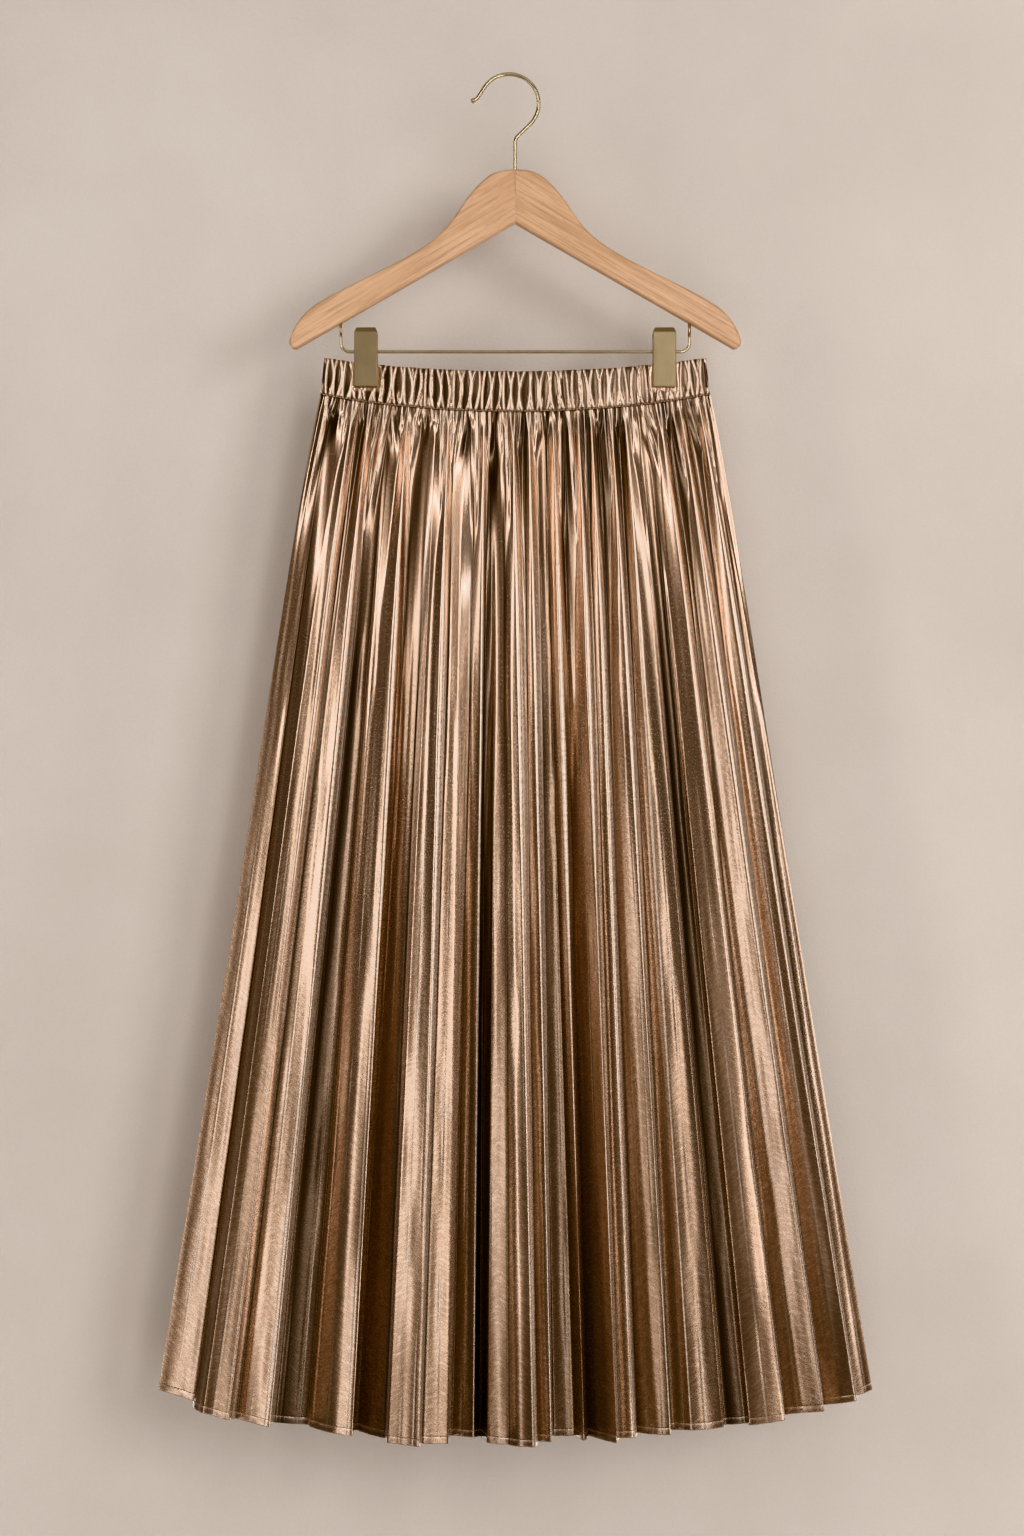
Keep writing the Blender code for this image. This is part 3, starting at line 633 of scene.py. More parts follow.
def make_band(name, node, facing, seed, finish, thread):
    """Half of the elastic casing, a closed fold of cloth round the elastic."""
    turn = np.linspace(0, math.pi / 2, 9)[1:]
    flat_end = BAND_HALF_WIDTH - BAND_END_ROUNDING
    end = flat_end + BAND_END_ROUNDING * np.sin(turn)
    x_top = np.concatenate((-end[::-1], np.linspace(-1, 1, BAND_COLUMNS) * flat_end, end))
    close = np.concatenate((np.cos(turn)[::-1], np.ones(BAND_COLUMNS), np.cos(turn)))
    share = (x_top / BAND_HALF_WIDTH + 1) / 2
    points, layout, hollow_painted_shade, painted_highlight = [], [], [], []
    for number, row in enumerate(BAND_ROWS):
        x = x_top * lerp(SEAM_HALF_WIDTH / BAND_HALF_WIDTH, 1.0, row.height)
        z = lerp(seam_height(x), band_top(x), row.height)
        free = pressed(x, z)
        field, domes = band_field(share, np.full_like(share, row.height), seed)
        gather = field * BAND_GATHER_HEIGHT + domes * BAND_DOME
        uneven = 1.0 + 0.3 * wander(share * BAND_GATHERS * 0.9, row.height * 1.5, seed + 5)
        # Painted shade on the smooth places between the ridges and along the seam, painted highlight on the
        # ridges.
        at_seam = 1 - smooth_step((z - seam_height(x)) / SEAM_SHADE_REACH)
        shaded = BAND_SHADE * np.clip(1 - 1.6 * field, 0, 1) * np.clip(uneven, 0, 1) * free
        hollow_painted_shade.append(np.maximum(shaded, SEAM_SHADE * at_seam) * (row.side > 0))
        broken = 0.9 + 0.5 * wander(share * BAND_GATHERS * 2, row.height * 4, seed + 6)
        painted_highlight.append(np.clip(1.6 * field - 0.6, 0, 1) * np.clip(broken, 0, 1) * free * (1 - at_seam))
        pinch = 1 - np.sin(math.pi * row.height) ** 0.5
        half = BAND_WALL / 2 - BAND_PINCH * pinch * 0.6
        outer = band_out(x) + half + (BAND_PUFF * (1 - pinch) + gather - BAND_SUNK) * free
        inner = band_out(x) - half
        stand = np.maximum(((outer + inner) / 2 + (outer - inner) / 2 * row.side) * close, 0.0)
        drift = 0.35 * MM * wander(share * 140, row.height * 3, seed + 3)
        z = z + drift * (row.height > 0.9)
        points.append(np.stack((x * -facing, stand * facing, z), axis=-1))
        layout.append(np.stack((x * 1.6, np.full_like(x, number * BAND_ROW_STEP)), axis=-1))
    points, layout = np.stack(points), np.stack(layout)
    ones = np.ones(points.shape[:2])
    places = {"fold_distance": ones, "recess": np.stack(hollow_painted_shade), "painted_highlight": np.stack(painted_highlight), "drop": 0 * ones}
    band = grid_object(name, points, layout, places, finish, flip=facing < 0)
    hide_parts(node)

    def at(x):
        return np.stack((x * -facing, (band_out(x) + SEAM_STITCH.out) * facing, seam_height(x)), axis=-1)

    ends = (-SEAM_HALF_WIDTH, SEAM_HALF_WIDTH)
    stitches = stitches_object(name + "_stitches", SEAM_STITCH, *ends, at, thread)
    round_it = points[:, BAND_COLUMNS // 2]
    float(path_steps(points[MID_FACE_ROW]).sum())
    float(path_steps(round_it).sum())


def back_folds():
    inner = [Fold(f.across, 8 + (f.out - 8) * BACK_DEPTH, f.shade) for f in FRONT_FOLDS[1:-1]]
    return (FRONT_FOLDS[0], *inner, FRONT_FOLDS[-1])


# --- Hanger ---


def upright(x, z):
    """A place or direction in the hanger's plane."""
    return Vector((x, 0.0, z))


def arc(centre_x, centre_z, radius, start, end, steps):
    """Points round an arc in the hanger's plane, angles in radians from +X towards +Z."""
    angles = [lerp(start, end, i / steps) for i in range(steps + 1)]
    return [upright(centre_x + radius * math.cos(a), centre_z + radius * math.sin(a)) for a in angles]


def hook_route():
    """Centreline of the hook, from the foot of its stem to its tip."""
    inner = HOOK_RADIUS - HOOK_WIRE
    centre_z = -math.sqrt(inner**2 - HOOK_CENTRE_X**2)
    start = -HOOK_LEAN
    joint_x = HOOK_CENTRE_X + HOOK_RADIUS * math.cos(start)
    joint_z = centre_z + HOOK_RADIUS * math.sin(start)
    corner_z = joint_z - math.cos(HOOK_LEAN) * joint_x / math.sin(HOOK_LEAN)
    reach = HOOK_STEM_BEND * math.tan(HOOK_LEAN / 2)
    stem = [upright(0.0, WOOD_TOP - STEM_IN_WOOD), upright(0.0, WOOD_TOP)]
    bend = arc(HOOK_STEM_BEND, corner_z - reach, HOOK_STEM_BEND, math.pi, math.pi - HOOK_LEAN, 10)
    ring = arc(HOOK_CENTRE_X, centre_z, HOOK_RADIUS, start, HOOK_RING_END, 72)
    heading = upright(-math.sin(HOOK_RING_END), math.cos(HOOK_RING_END))
    outward = upright(math.cos(HOOK_RING_END), math.sin(HOOK_RING_END))
    turn = ring[-1] + heading * HOOK_LEAD_OUT + outward * HOOK_FLARE
    towards = HOOK_RING_END + math.pi
    flare = arc(turn.x, turn.z, HOOK_FLARE, towards, towards - HOOK_FLARE_TURN, 12)
    return stem + bend + ring + flare


def bar_route():
    """Centreline of the bar and its two legs, up into the wood at each end."""
    low = BAR_HEIGHT + BAR_BEND
    turn = BAR_HALF_WIDTH - BAR_BEND
    left = arc(-turn, low, BAR_BEND, math.pi, 1.5 * math.pi, 14)
    right = arc(turn, low, BAR_BEND, 1.5 * math.pi, 2 * math.pi, 14)
    return [upright(-BAR_HALF_WIDTH, LEG_TOP), *left, *right, upright(BAR_HALF_WIDTH, LEG_TOP)]


def wire_mesh(route, radius, sides, swell=lambda distance_to_end: 1.0):
    """A round wire swept along the route, closed at both ends."""
    shape = bmesh.new()
    lengths = [0.0]
    for a, b in zip(route, route[1:]):
        lengths.append(lengths[-1] + (b - a).length)
    side = None
    rings = []
    for i, point in enumerate(route):
        ahead = (route[min(i + 1, len(route) - 1)] - route[max(i - 1, 0)]).normalized()
        side = ahead.orthogonal().normalized() if side is None else side
        side = (side - ahead * side.dot(ahead)).normalized()
        other = ahead.cross(side)
        size = radius * swell(lengths[-1] - lengths[i])
        angles = [2 * math.pi * k / sides for k in range(sides)]
        spokes = [(side * math.cos(a) + other * math.sin(a)) * size for a in angles]
        rings.append([shape.verts.new(point + spoke) for spoke in spokes])
    for one, other in zip(rings, rings[1:]):
        for k in range(sides):
            shape.faces.new((one[k], one[(k + 1) % sides], other[(k + 1) % sides], other[k]))
    shape.faces.new(rings[0][::-1])
    shape.faces.new(rings[-1])
    return shape


def finish_shape(name, shape, finish, node):
    """Turns a bmesh into a shown piece that stands for that CAD node."""
    bmesh.ops.recalc_face_normals(shape, faces=shape.faces)
    mesh = bpy.data.meshes.new(name)
    shape.to_mesh(mesh)
    shape.free()
    mesh.shade_smooth()
    obj = make_object(name, mesh, finish)
    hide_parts(node)
    return obj


def even_shading(obj):
    obj.modifiers.new("even_shading", "WEIGHTED_NORMAL").keep_sharp = True


def make_wires(metal):
    route = hook_route()
    ahead = (route[-1] - route[-2]).normalized()
    ball = HOOK_WIRE * HOOK_BALL
    for _ in range(BALL_STEPS):
        route.append(route[-1] + ahead * ball * 2 / BALL_STEPS)

    def swell(to_end):
        if to_end > 2 * ball:
            return 1.0
        inside = 1 - ((to_end - ball) / ball) ** 2
        return max(HOOK_BALL * math.sqrt(max(inside, 0.0)), 1.0 if to_end > ball else 0.12)

    finish_shape("hook_wire", wire_mesh(route, HOOK_WIRE, 24, swell), metal, "hook")
    finish_shape("bar_wire", wire_mesh(bar_route(), BAR_WIRE, 20), metal, "bar")


def hermite(a, b, share):
    """Point between two knots of an outline, as (across, height) in millimetres."""
    width = b.across - a.across
    s2, s3 = share**2, share**3
    height = (2 * s3 - 3 * s2 + 1) * a.height + (s3 - 2 * s2 + share) * width * a.slope
    height += (3 * s2 - 2 * s3) * b.height + (s3 - s2) * width * b.slope
    return (a.across + width * share, height)


def quadratic(a, corner, b, share):
    """Point on the curve from a to b that cuts the corner, each as (across, height)."""
    weights = ((1 - share) ** 2, 2 * share * (1 - share), share**2)
    return tuple(sum(w * p[k] for w, p in zip(weights, (a, corner, b))) for k in (0, 1))


def arm_outline(steps=10, foot_steps=5):
    """Outline of an arm, from the top of the mitre along the shoulder and back below, in metres."""
    top = [hermite(a, b, i / steps) for a, b in zip(ARM_TOP, ARM_TOP[1:]) for i in range(steps)]
    last = ARM_TOP[-1]
    corner = (ARM_TIP_CORNER_X, last.height + last.slope * (ARM_TIP_CORNER_X - last.across))
    top += [quadratic((last.across, last.height), corner, ARM_TIP, i / steps) for i in range(steps)]
    foot = [i / foot_steps for i in range(foot_steps + 1)]
    top += [quadratic(ARM_TIP, ARM_FOOT_CORNER, ARM_FOOT, share) for share in foot]
    outline = [upright(x * MM, z * MM) for x, z in top]
    outline[0].x = GAP / 2
    return [*outline, upright(GAP / 2, ARM_NOTCH)]


def make_arm(name, side, finish):
    """One half of the hanger, mitred at the middle, its edges rounded over."""
    outline = [Vector((p.x * side, -WOOD_THICKNESS / 2, p.z)) for p in arm_outline()]
    shape = bmesh.new()
    face = shape.faces.new([shape.verts.new(p) for p in outline])
    made = bmesh.ops.extrude_face_region(shape, geom=[face])
    new = [v for v in made["geom"] if isinstance(v, bmesh.types.BMVert)]
    bmesh.ops.translate(shape, verts=new, vec=(0.0, WOOD_THICKNESS, 0.0))
    level = [e for e in shape.edges if e.verts[0].co.y == e.verts[1].co.y]
    worn = [e for e in level if max(abs(v.co.x) for v in e.verts) > GAP]
    bmesh.ops.bevel(shape, geom=worn, offset=WOOD_ROUNDING, segments=6, profile=0.5, affect="EDGES")
    arm = finish_shape(name + "_wood", shape, finish, name)
    even_shading(arm)
    for edge in arm.data.edges:
        ends = [arm.data.vertices[i].co for i in edge.vertices]
        edge.use_edge_sharp = all(abs(co.x) < GAP for co in ends)


JawRow = namedtuple("JawRow", "height out half rounding back")
# Rows up a clip's jaw, in millimetres from its lower edge: how far its face stands out, half its
# width, the rounding of its corners, and where the sides end towards the cloth.
JAW_ROWS = table(
    JawRow,
    (0.0, 3.9, 10.2, 0.2, 3.5),
    (0.0, 7.6, 10.3, 0.6, 3.5),
    (0.15, 7.95, 10.7, 0.8, 3.5),
    (0.5, 8.15, 10.95, 0.9, 3.5),
    (1.0, 8.22, 11.0, 0.9, 3.5),
    (25.8, 8.75, 11.0, 0.9, 3.5),
    (27.8, 8.8, 11.0, 0.9, 2.0),
    (39.8, 9.1, 11.0, 0.9, 2.0),
    (50.6, 9.32, 11.0, 0.9, 3.9),
    (51.3, 9.25, 10.95, 0.9, 4.0),
    (51.9, 9.0, 10.75, 0.9, 4.1),
    (54.9, 7.3, 9.5, 0.8, 4.3),
    (55.6, 6.95, 9.2, 0.7, 4.4),
    (56.0, 6.4, 8.9, 0.5, 4.4),
    (56.1, 4.6, 8.8, 0.1, 4.4),
)


def face_order(face):
    """A number for sorting faces, so that their order is the same on each run."""
    low, middle, high = sorted(v.index for v in face.verts)[:3]
    return (low * 1e4 + middle) * 1e4 + high


def make_jaw(name, node, x, facing, finish):
    """One jaw of a clip: a tray of bent sheet, open towards the cloth. facing is -1 at the front."""
    shape = bmesh.new()
    rows = []
    turn = [math.pi / 2 * i / 5 for i in range(6)]
    for row in JAW_ROWS:
        flat, r = row.half - row.rounding, row.rounding
        front = row.out - row.rounding
        half = [(-row.half, row.back)]
        half += [(-flat - r * math.cos(a), front + r * math.sin(a)) for a in turn]
        line = half + [(-u, v) for u, v in half[::-1]]
        z = CLIP_BOTTOM + row.height * MM
        rows.append([shape.verts.new((x + u * MM, facing * v * MM, z)) for u, v in line])
    for one, other in zip(rows, rows[1:]):
        for k in range(len(one) - 1):
            shape.faces.new((one[k], one[k + 1], other[k + 1], other[k]))
    bmesh.ops.recalc_face_normals(shape, faces=shape.faces)
    middle = [f for f in shape.faces if abs(f.normal.y) > 0.9]
    if sum(f.normal.y * facing for f in middle) < 0:
        bmesh.ops.reverse_faces(shape, faces=shape.faces)
    bmesh.ops.solidify(shape, geom=list(shape.faces), thickness=CLIP_SHEET)
    shape.verts.index_update()
    shape.faces.sort(key=face_order)
    even_shading(finish_shape(name, shape, finish, node))


def make_spring(name, node, x, finish):
    """The coiled spring between a clip's jaws, round the bar."""
    steps = SPRING_TURNS * 20
    route = []
    for i in range(steps + 1):
        angle = 2 * math.pi * SPRING_TURNS * i / steps
        place = Vector((x - SPRING_HALF + 2 * SPRING_HALF * i / steps, 0.0, BAR_HEIGHT))
        around = Vector((0.0, -SPRING_RADIUS * math.cos(angle), SPRING_RADIUS * math.sin(angle)))
        route.append(place + around)
    finish_shape(name, wire_mesh(route, SPRING_WIRE, 8), finish, node)


# --- Materials ---


class Graph:
    """Short ways to add nodes to a material's or a world's tree."""

    def __init__(self, owner):
        owner.use_nodes = True
        self.owner, self.nodes, self.links = owner, owner.node_tree.nodes, owner.node_tree.links

    def put(self, socket, value):
        """Gives a socket a number or a colour, or links another node's output to it."""
        if isinstance(value, bpy.types.NodeSocket):
            self.links.new(value, socket)
        else:
            socket.default_value = (*value, 1.0) if socket.type == "RGBA" else value

    def feed(self, node, **inputs):
        for key, value in inputs.items():
            self.put(node.inputs[key.replace("_", " ")], value)
        return node

    def add(self, kind, settings=(), **inputs):
        made = self.nodes.new(kind)
        for key, value in settings:
            setattr(made, key, value)
        return self.feed(made, **inputs)

    def noise(self, vector, scale, detail=2.0, roughness=0.5, distortion=0.0):
        shape = {"Scale": scale, "Detail": detail, "Roughness": roughness, "Distortion": distortion}
        return self.add("ShaderNodeTexNoise", Vector=vector, **shape).outputs["Fac"]

    def pattern(self, vector, scale, detail, roughness, distortion=0.0, turn=(0.0, 0.0, 0.0)):
        """Noise over coordinates turned, then scaled, so that it stretches along the turned axes."""
        turned = self.add("ShaderNodeMapping", Vector=vector, Rotation=turn).outputs[0]
        scaled = self.add("ShaderNodeMapping", Vector=turned, Scale=scale).outputs[0]
        return self.noise(scaled, 1.0, detail, roughness, distortion)

    def between(self, factor, low, high, from_low=0.0, from_high=1.0, smooth=False):
        """A value from low to high as the factor goes from from_low to from_high."""
        way = (("interpolation_type", "SMOOTHSTEP" if smooth else "LINEAR"),)
        ends = {"From_Min": from_low, "From_Max": from_high, "To_Min": low, "To_Max": high}
        return self.add("ShaderNodeMapRange", way, Value=factor, **ends).outputs["Result"]

    def mixed(self, factor, one, other):
        """Two colours, each a tuple or an output, mixed by a factor."""
        made = self.add("ShaderNodeMix", (("data_type", "RGBA"),))
        for place, value in ((0, factor), (6, one), (7, other)):  # the sockets for colours
            self.put(made.inputs[place], value)
        return made.outputs[2]

    def layered(self, tone, *layers):
        """A colour with others laid over it, each by its share."""
        for share, colour in layers:
            tone = self.mixed(share, tone, colour)
        return tone

    def maths(self, operation, *values):
        made = self.add("ShaderNodeMath", (("operation", operation),))
        for socket, value in zip(made.inputs, values):
            self.put(socket, value)
        return made.outputs[0]

    def sum(self, one, other):
        return self.maths("ADD", one, other)

    def product(self, one, other):
        return self.maths("MULTIPLY", one, other)

    def larger(self, one, other):
        return self.maths("MAXIMUM", one, other)

    def bump(self, height, distance, strength=1.0, **below):
        made = self.add("ShaderNodeBump", Height=height, Distance=distance, Strength=strength, **below)
        return made.outputs[0]

    def attribute(self, name):
        return self.add("ShaderNodeAttribute", (("attribute_name", name),)).outputs["Fac"]

    def place(self, kind="Object"):
        return self.add("ShaderNodeTexCoord").outputs[kind]

    def show(self, factor, one, other, output):
        """Shows one shader or the other, by a factor."""
        mix = self.add("ShaderNodeMixShader")
        for socket, value in zip(mix.inputs, (factor, one.outputs[0], other.outputs[0])):
            self.put(socket, value)
        self.feed(self.nodes[output], Surface=mix.outputs[0])


class Finish(Graph):
    """A Principled material."""

    def __init__(self, name, colour, roughness, metallic=0.0):
        super().__init__(bpy.data.materials.new(name))
        self.shader = self.nodes["Principled BSDF"]
        self.look(Base_Color=colour, Roughness=roughness, Metallic=metallic)

    def look(self, **inputs):
        self.feed(self.shader, **inputs)
        return self.owner


def cloth_finish():
    """Foiled satin with a pressed fish-bone crinkle between the folds, bumped, its shade and glints painted
    in.
    """
    f = Finish("rose_gold_cloth", (0.76, 0.565, 0.435), 0.24, 1.0)
    uv = f.add("ShaderNodeUVMap", (("uv_map", "cloth"),)).outputs[0]
    across, down, _ = f.add("ShaderNodeSeparateXYZ", Vector=uv).outputs
    slanted = f.sum(down, f.product(f.attribute("fold_distance"), 0.45))
    herring = f.add("ShaderNodeCombineXYZ", X=across, Y=slanted).outputs[0]
    ribs = f.pattern(herring, (110.0, 360.0, 1.0), 3.0, 0.6, 0.5)
    grain = f.pattern(uv, (520.0, 560.0, 1.0), 3.0, 0.7)
    streaks = f.pattern(uv, (130.0, 4.0, 1.0), 2.0, 0.5)
    patches = f.pattern(uv, (42.0, 3.6, 1.0), 2.0, 0.5)
    broken = f.pattern(uv, (75.0, 5.0, 1.0), 1.0, 0.5)
    pools = f.pattern(uv, (26.0, 4.2, 1.0), 1.0, 0.5)
    creases = (("voronoi_dimensions", "1D"), ("feature", "DISTANCE_TO_EDGE"))
    crease = f.add("ShaderNodeTexVoronoi", creases, W=across, Scale=52.0, Randomness=1.0)

    # Shares of the layers, most of them growing with the drop, which is 0 at the waist and 1 at the hem.
    drop = f.attribute("drop")
    low_down = f.between(drop, 0.0, 1.0, 0.12, 0.6)
    streaky = f.product(f.between(streaks, -0.5, 0.5, 0.36, 0.66), f.between(drop, 0.15, 1.0, 0.1, 0.6))
    # Painted shade in soft patches down the faces, and darker towards the hem.
    patchy_painted_shade = f.product(f.between(patches, 0.0, 0.62, 0.46, 0.66, smooth=True), low_down)
    patchy_painted_shade = f.larger(patchy_painted_shade, f.between(drop, 0.0, 0.4, 0.6, 1.0))
    # Painted shade and painted glints of the crinkle, whose relief is also bumped below.
    crinkle = f.product(f.between(ribs, 0.75, 0.0, 0.36, 0.56), f.between(drop, 0.25, 0.75, 0.0, 0.35))
    glints = f.product(f.between(ribs, 0.0, 0.5, 0.54, 0.68), low_down)
    # Painted sparkle in the grain, and a painted highlight along small creases, which are also bumped
    # below.
    painted_sparkle = f.product(f.between(grain, 0.0, 0.7, 0.50, 0.64), f.between(drop, 1.0, 0.3, 0.35, 0.9))
    line = f.between(crease.outputs["Distance"], 1.0, 0.0, 0.0, 0.10)
    line = f.product(line, f.between(broken, 0.0, 1.0, 0.42, 0.6))
    line = f.product(line, f.between(drop, 0.0, 1.0, 0.22, 0.6))
    # Painted shade in soft dark pools towards the hem; with the recess attribute's shade it darkens the
    # colour.
    painted_hem_shade = f.between(pools, 0.0, 0.62, 0.42, 0.62, smooth=True)
    painted_hem_shade = f.product(painted_hem_shade, f.between(drop, 0.0, 1.0, 0.68, 0.98, smooth=True))
    shade = f.larger(f.between(f.attribute("recess"), 0.0, 0.94, 0.06, 0.95), painted_hem_shade)
    # Painted highlight on crests, turned sides and the hem's edge, broken by streaks and by the crinkle.
    edge = f.product(f.attribute("painted_highlight"), f.between(streaks, 0.65, 1.0, 0.35, 0.6))
    edge = f.product(edge, f.between(crinkle, 1.0, 0.5))
    tone = f.layered(
        f.mixed(f.sum(streaky, 0.5), (0.70, 0.443, 0.288), (0.88, 0.582, 0.402)),
        (patchy_painted_shade, (0.47, 0.305, 0.205)),
        (crinkle, (0.40, 0.262, 0.175)),
        (glints, (0.99, 0.80, 0.66)),
        (painted_sparkle, (0.98, 0.80, 0.66)),
        (f.product(line, 0.7), (0.92, 0.76, 0.63)),
        (shade, (0.040, 0.029, 0.022)),
        (edge, (0.98, 0.83, 0.70)),
    )
    # The foil is less metallic under the painted highlight, and a little less so in half painted shade.
    half_shade = f.product(shade, f.between(shade, 1.0, 0.0))
    metal = f.product(f.between(edge, 1.0, 0.12), f.between(half_shade, 1.0, 0.9, 0.0, 0.25))
    rough = f.sum(f.between(grain, 0.21, 0.28, 0.3, 0.7), f.between(drop, 0.0, 0.02, 0.1, 0.9))
    creased = f.bump(line, CREASE_DEPTH)
    deep = f.bump(f.product(ribs, low_down), CRINKLE_DEPTH, Normal=creased)
    fine = f.bump(f.product(grain, f.between(drop, 0.04, 1.0, 0.1, 0.5)), GRAIN_DEPTH, Normal=deep)
    coat = f.product(f.between(shade, 1.0, 0.0, 0.0, 0.6), f.between(drop, 1.0, 0.6, 0.45, 1.0))
    f.look(Base_Color=tone, Metallic=metal, Roughness=rough, Normal=fine)
    return f.look(Coat_Weight=coat, Coat_Roughness=0.13, Coat_IOR=2.2)


def thread_finish():
    f = Finish("brown_thread", (0.30, 0.19, 0.12), 0.6)
    twist = f.noise(f.place(), 2600.0, 1.0)
    return f.look(Base_Color=f.mixed(twist, (0.22, 0.135, 0.085), (0.42, 0.28, 0.19)))


def darker(colour, share):
    return tuple(c * share for c in colour)


def wood_finish(name, light, dark, lean):
    """Beech with its grain along an arm. lean is the arm's slope from level, in radians."""
    f = Finish(name, light, 0.42)
    place, turn = f.place(), (0.0, lean, 0.0)
    broad = f.pattern(place, (9.0, 60.0, 95.0), 3.0, 0.55, 0.6, turn)
    lines = f.pattern(place, (16.0, 260.0, 420.0), 3.0, 0.6, 0.4, turn)
    pores = f.pattern(place, (150.0, 900.0, 1700.0), 1.0, 0.5, 0.0, turn)
    tone = f.layered(
        light,
        (f.between(broad, 0.0, 1.0, 0.32, 0.68, smooth=True), dark),
        (f.between(lines, 0.0, 0.8, 0.44, 0.64), darker(dark, 0.74)),
        (f.between(pores, 0.0, 0.55, 0.62, 0.74), darker(dark, 0.62)),
    )
    rough, grooves = f.between(lines, 0.36, 0.5, 0.3, 0.7), f.bump(lines, WOOD_GRAIN_DEPTH, 0.5)
    return f.look(Base_Color=tone, Roughness=rough, Normal=grooves, Coat_Weight=0.25, Coat_Roughness=0.3)


def metal_finish(name, colour, roughness, grain):
    """Brushed or polished brass. grain is how deep its brushing is, in metres."""
    f = Finish(name, colour, roughness, 1.0)
    place = f.place()
    brushed = f.pattern(place, (2200.0, 2200.0, 90.0), 2.0, 0.6)
    soft = f.between(f.noise(place, 60.0), 0.0, 0.5, 0.35, 0.7)
    rough = f.between(brushed, roughness * 0.8, roughness * 1.25, 0.3, 0.7)
    tone = f.mixed(soft, colour, darker(colour, 0.82))
    return f.look(Base_Color=tone, Roughness=rough, Normal=f.bump(brushed, grain, 0.5))


# --- Stage, light and camera ---


def plane(name, corners, finish):
    mesh = bpy.data.meshes.new(name)
    mesh.from_pydata(corners, [], [(0, 1, 2, 3)])
    mesh.materials.append(finish)
    obj = add_object(name, mesh)
    obj.visible_glossy = False
    return obj


def make_stage():
    """A pale wall, clear from behind, and a pale floor. Neither is mirrored in the cloth."""
    f = Finish("plaster", (0.60, 0.545, 0.49), 0.9)
    place = f.place()
    clouds, grit = f.noise(place, 2.6, 4.0, 0.55), f.noise(place, 420.0, 3.0, 0.7)
    tone = f.layered(
        (0.560, 0.507, 0.464),
        (f.between(clouds, 0.0, 1.0, 0.25, 0.75), (0.655, 0.603, 0.560)),
        (f.between(grit, 0.0, 0.16, 0.4, 0.8), (0.42, 0.37, 0.33)),
    )
    plaster = f.look(Base_Color=tone, Normal=f.bump(grit, PLASTER_DEPTH, 0.35))
    behind = f.add("ShaderNodeNewGeometry").outputs["Backfacing"]
    f.show(behind, f.shader, f.add("ShaderNodeBsdfTransparent"), "Material Output")
    g = Finish("pale_floor", (0.62, 0.57, 0.52), 0.7)
    pale = g.look(Base_Color=g.mixed(g.noise(g.place(), 9.0, 3.0), (0.58, 0.53, 0.48), (0.66, 0.61, 0.56)))
    wide, deep = STAGE_HALF_WIDTH, STAGE_HALF_DEPTH
    around = ((-wide, 0), (wide, 0), (wide, 1), (-wide, 1))
    wall = plane("wall", [(x, WALL_Y, lerp(FLOOR_Z, WALL_TOP, up)) for x, up in around], plaster)
    wall.visible_shadow = False
    plane("floor", [(x, lerp(-deep, deep, back), FLOOR_Z) for x, back in around], pale)


# Narrow softboxes stand round the skirt, mirrored in the cloth as long streaks, the three at the
# front each with a wide dim one round it. azimuth is in degrees from the camera's side towards +X,
# wide in metres, glow the light's radiance.
Strip = namedtuple("Strip", "azimuth wide glow colour")
CORE = (1.0, 0.98, 0.955)
HALO = (1.0, 0.83, 0.69)
STRIPS = table(
    Strip,
    (-50, 0.30, 7.0, CORE),
    (-45, 1.40, 0.39, HALO),
    (14, 0.30, 9.8, CORE),
    (6, 1.70, 0.39, HALO),
    (60, 0.28, 6.0, CORE),
    (68, 1.20, 0.31, HALO),
    (158, 0.70, 3.0, CORE),
    (-150, 0.70, 3.4, CORE),
)
STRIP_DISTANCE = 2.75
# Each strip is cut across into pieces that glow less towards the floor.
StripPart = namedtuple("StripPart", "height tall share")
STRIP_PARTS = table(StripPart, (0.25, 1.4, 0.86), (-1.35, 1.8, 0.58))

Lamp = namedtuple("Lamp", "name place aim wide tall watts mirrored colour")
WASH = (1.0, 0.985, 0.97)
LAMPS = table(
    Lamp,
    ("key_wash", (2.8, -3.8, 0.1), (0.0, 0.0, -0.9), 1.4, 1.7, 74.5, False, WASH),
    ("fill_wash", (-0.2, -4.6, -1.5), (0.0, 0.0, -1.3), 2.6, 2.6, 50.0, False, WASH),
    ("high_box", (0.2, -2.0, 1.5), (0.0, 0.0, -0.3), 2.0, 0.5, 5.0, True, WASH),
)

RoomPart = namedtuple("RoomPart", "axis start end low high")
# How bright the room is in each direction: from start to end along the axis it goes from low to high.
ROOM_PARTS = table(
    RoomPart,
    ("Y", 0.1, 0.8, 0.065, 0.30),
    ("Z", 0.35, 0.9, 0.0, 0.25),
    ("Z", -0.35, -0.85, 0.0, 0.32),
)
ROOM_COLOUR = (1.0, 0.85, 0.73)
BACKDROP_COLOUR = (0.60, 0.53, 0.47)


def strip_lamps():
    """The strips' pieces, upright softboxes that face the middle."""
    for strip in STRIPS:
        angle = math.radians(strip.azimuth)
        x, y = STRIP_DISTANCE * math.sin(angle), -STRIP_DISTANCE * math.cos(angle)
        for part in STRIP_PARTS:
            name, aim = f"strip_{strip.azimuth}_{part.height}", (0.0, 0.0, part.height)
            watts = strip.glow * part.share * math.pi * strip.wide * part.tall
            yield Lamp(name, (x, y, part.height), aim, strip.wide, part.tall, watts, True, strip.colour)


def make_light():
    for lamp in (*LAMPS, *strip_lamps()):
        data = bpy.data.lights.new(lamp.name, "AREA")
        data.shape = "RECTANGLE"
        data.size, data.size_y, data.energy, data.color = lamp.wide, lamp.tall, lamp.watts, lamp.colour
        obj = add_object(lamp.name, data)
        obj.location = lamp.place
        obj.rotation_euler = (Vector(lamp.aim) - obj.location).to_track_quat("-Z", "Y").to_euler()
        obj.visible_camera = False
        obj.visible_glossy = lamp.mirrored


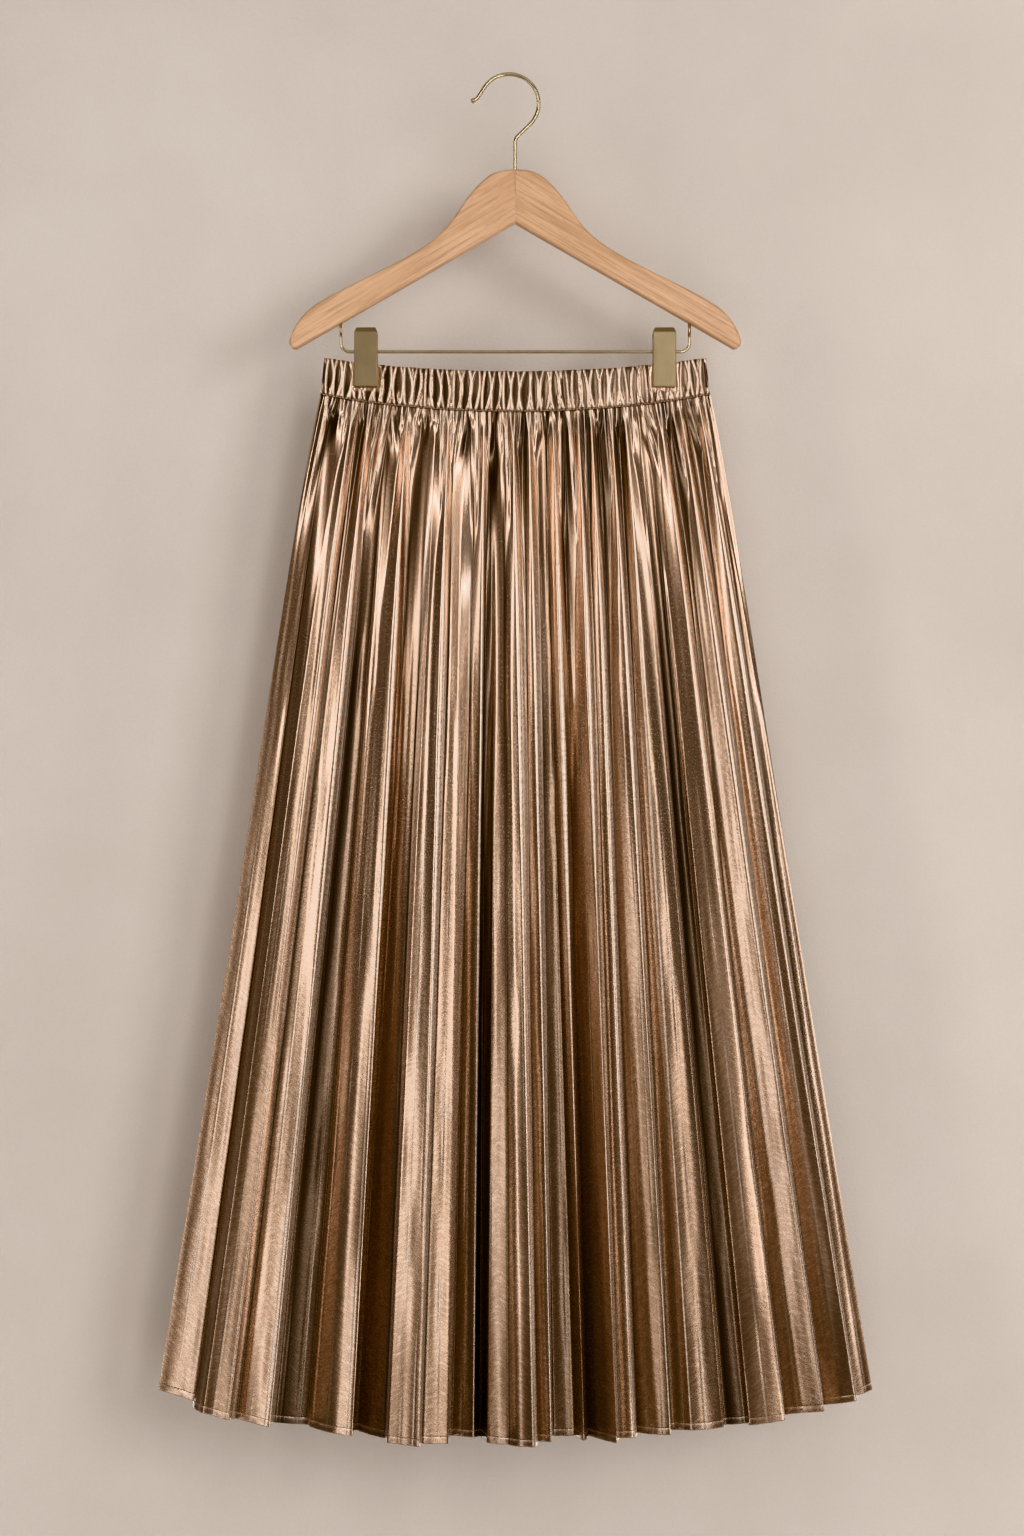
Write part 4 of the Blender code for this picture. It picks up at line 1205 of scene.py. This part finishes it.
def make_room():
    """A warm dim room round the softboxes, lighter above and behind, seen as a pale backdrop."""
    world = bpy.context.scene.world = bpy.data.worlds.new("room")
    g = Graph(world)
    towards = g.add("ShaderNodeSeparateXYZ", Vector=g.place("Generated")).outputs
    glow = 0.0
    for part in ROOM_PARTS:
        glow = g.sum(glow, g.between(towards[part.axis], part.low, part.high, part.start, part.end))
    dim = g.feed(g.nodes["Background"], Color=ROOM_COLOUR, Strength=glow)
    pale = g.add("ShaderNodeBackground", Color=BACKDROP_COLOUR)
    g.show(g.add("ShaderNodeLightPath").outputs["Is Camera Ray"], dim, pale, "World Output")


def make_camera():
    data = bpy.data.cameras.new("camera")
    data.sensor_width = SENSOR
    data.lens = SENSOR * VIEW_DISTANCE / VIEW_HEIGHT
    data.clip_start, data.clip_end = 0.05, 50.0
    camera = add_object("camera", data)
    camera.location = (VIEW_CENTRE[0], -VIEW_DISTANCE, VIEW_CENTRE[1])
    camera.rotation_euler = (math.pi / 2, 0.0, 0.0)
    bpy.context.scene.camera = camera


def main():
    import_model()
    cloth, thread = cloth_finish(), thread_finish()
    satin = metal_finish("satin_brass", (0.412, 0.328, 0.207), 0.45, 0.02 * MM)
    bright = metal_finish("polished_brass", (0.72, 0.61, 0.42), 0.13, 0.002 * MM)
    for side, x in (("left", -CLIP_X), ("right", CLIP_X)):
        for face, facing in (("front", -1), ("back", 1)):
            make_jaw(f"clip_{side}_{face}", f"clip_{side}_{face}_jaw", x, facing, satin)
        make_spring(f"clip_{side}_coil", f"clip_{side}_spring", x, bright)
    make_wires(bright)
    beech = wood_finish("beech_left", (0.67, 0.425, 0.265), (0.58, 0.342, 0.196), ARM_LEAN)
    make_arm("hanger_arm_left", -1, beech)
    beech = wood_finish("beech_right", (0.65, 0.402, 0.240), (0.53, 0.306, 0.166), -ARM_LEAN)
    make_arm("hanger_arm_right", 1, beech)
    make_band("waistband_front_casing", "waistband_front", -1, FRONT_BAND_SEED, cloth, thread)
    make_band("waistband_back_casing", "waistband_back", 1, BACK_BAND_SEED, cloth, thread)
    make_panel("skirt_front_cloth", "skirt_front", FRONT_FOLDS, -1, FRONT_SEED, cloth, thread)
    make_panel("skirt_back_cloth", "skirt_back", back_folds(), 1, BACK_SEED, cloth, thread)
    make_stage()
    make_light()
    make_room()
    make_camera()
    bpy.context.scene.view_settings.view_transform = "Khronos PBR Neutral"
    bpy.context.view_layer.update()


main()
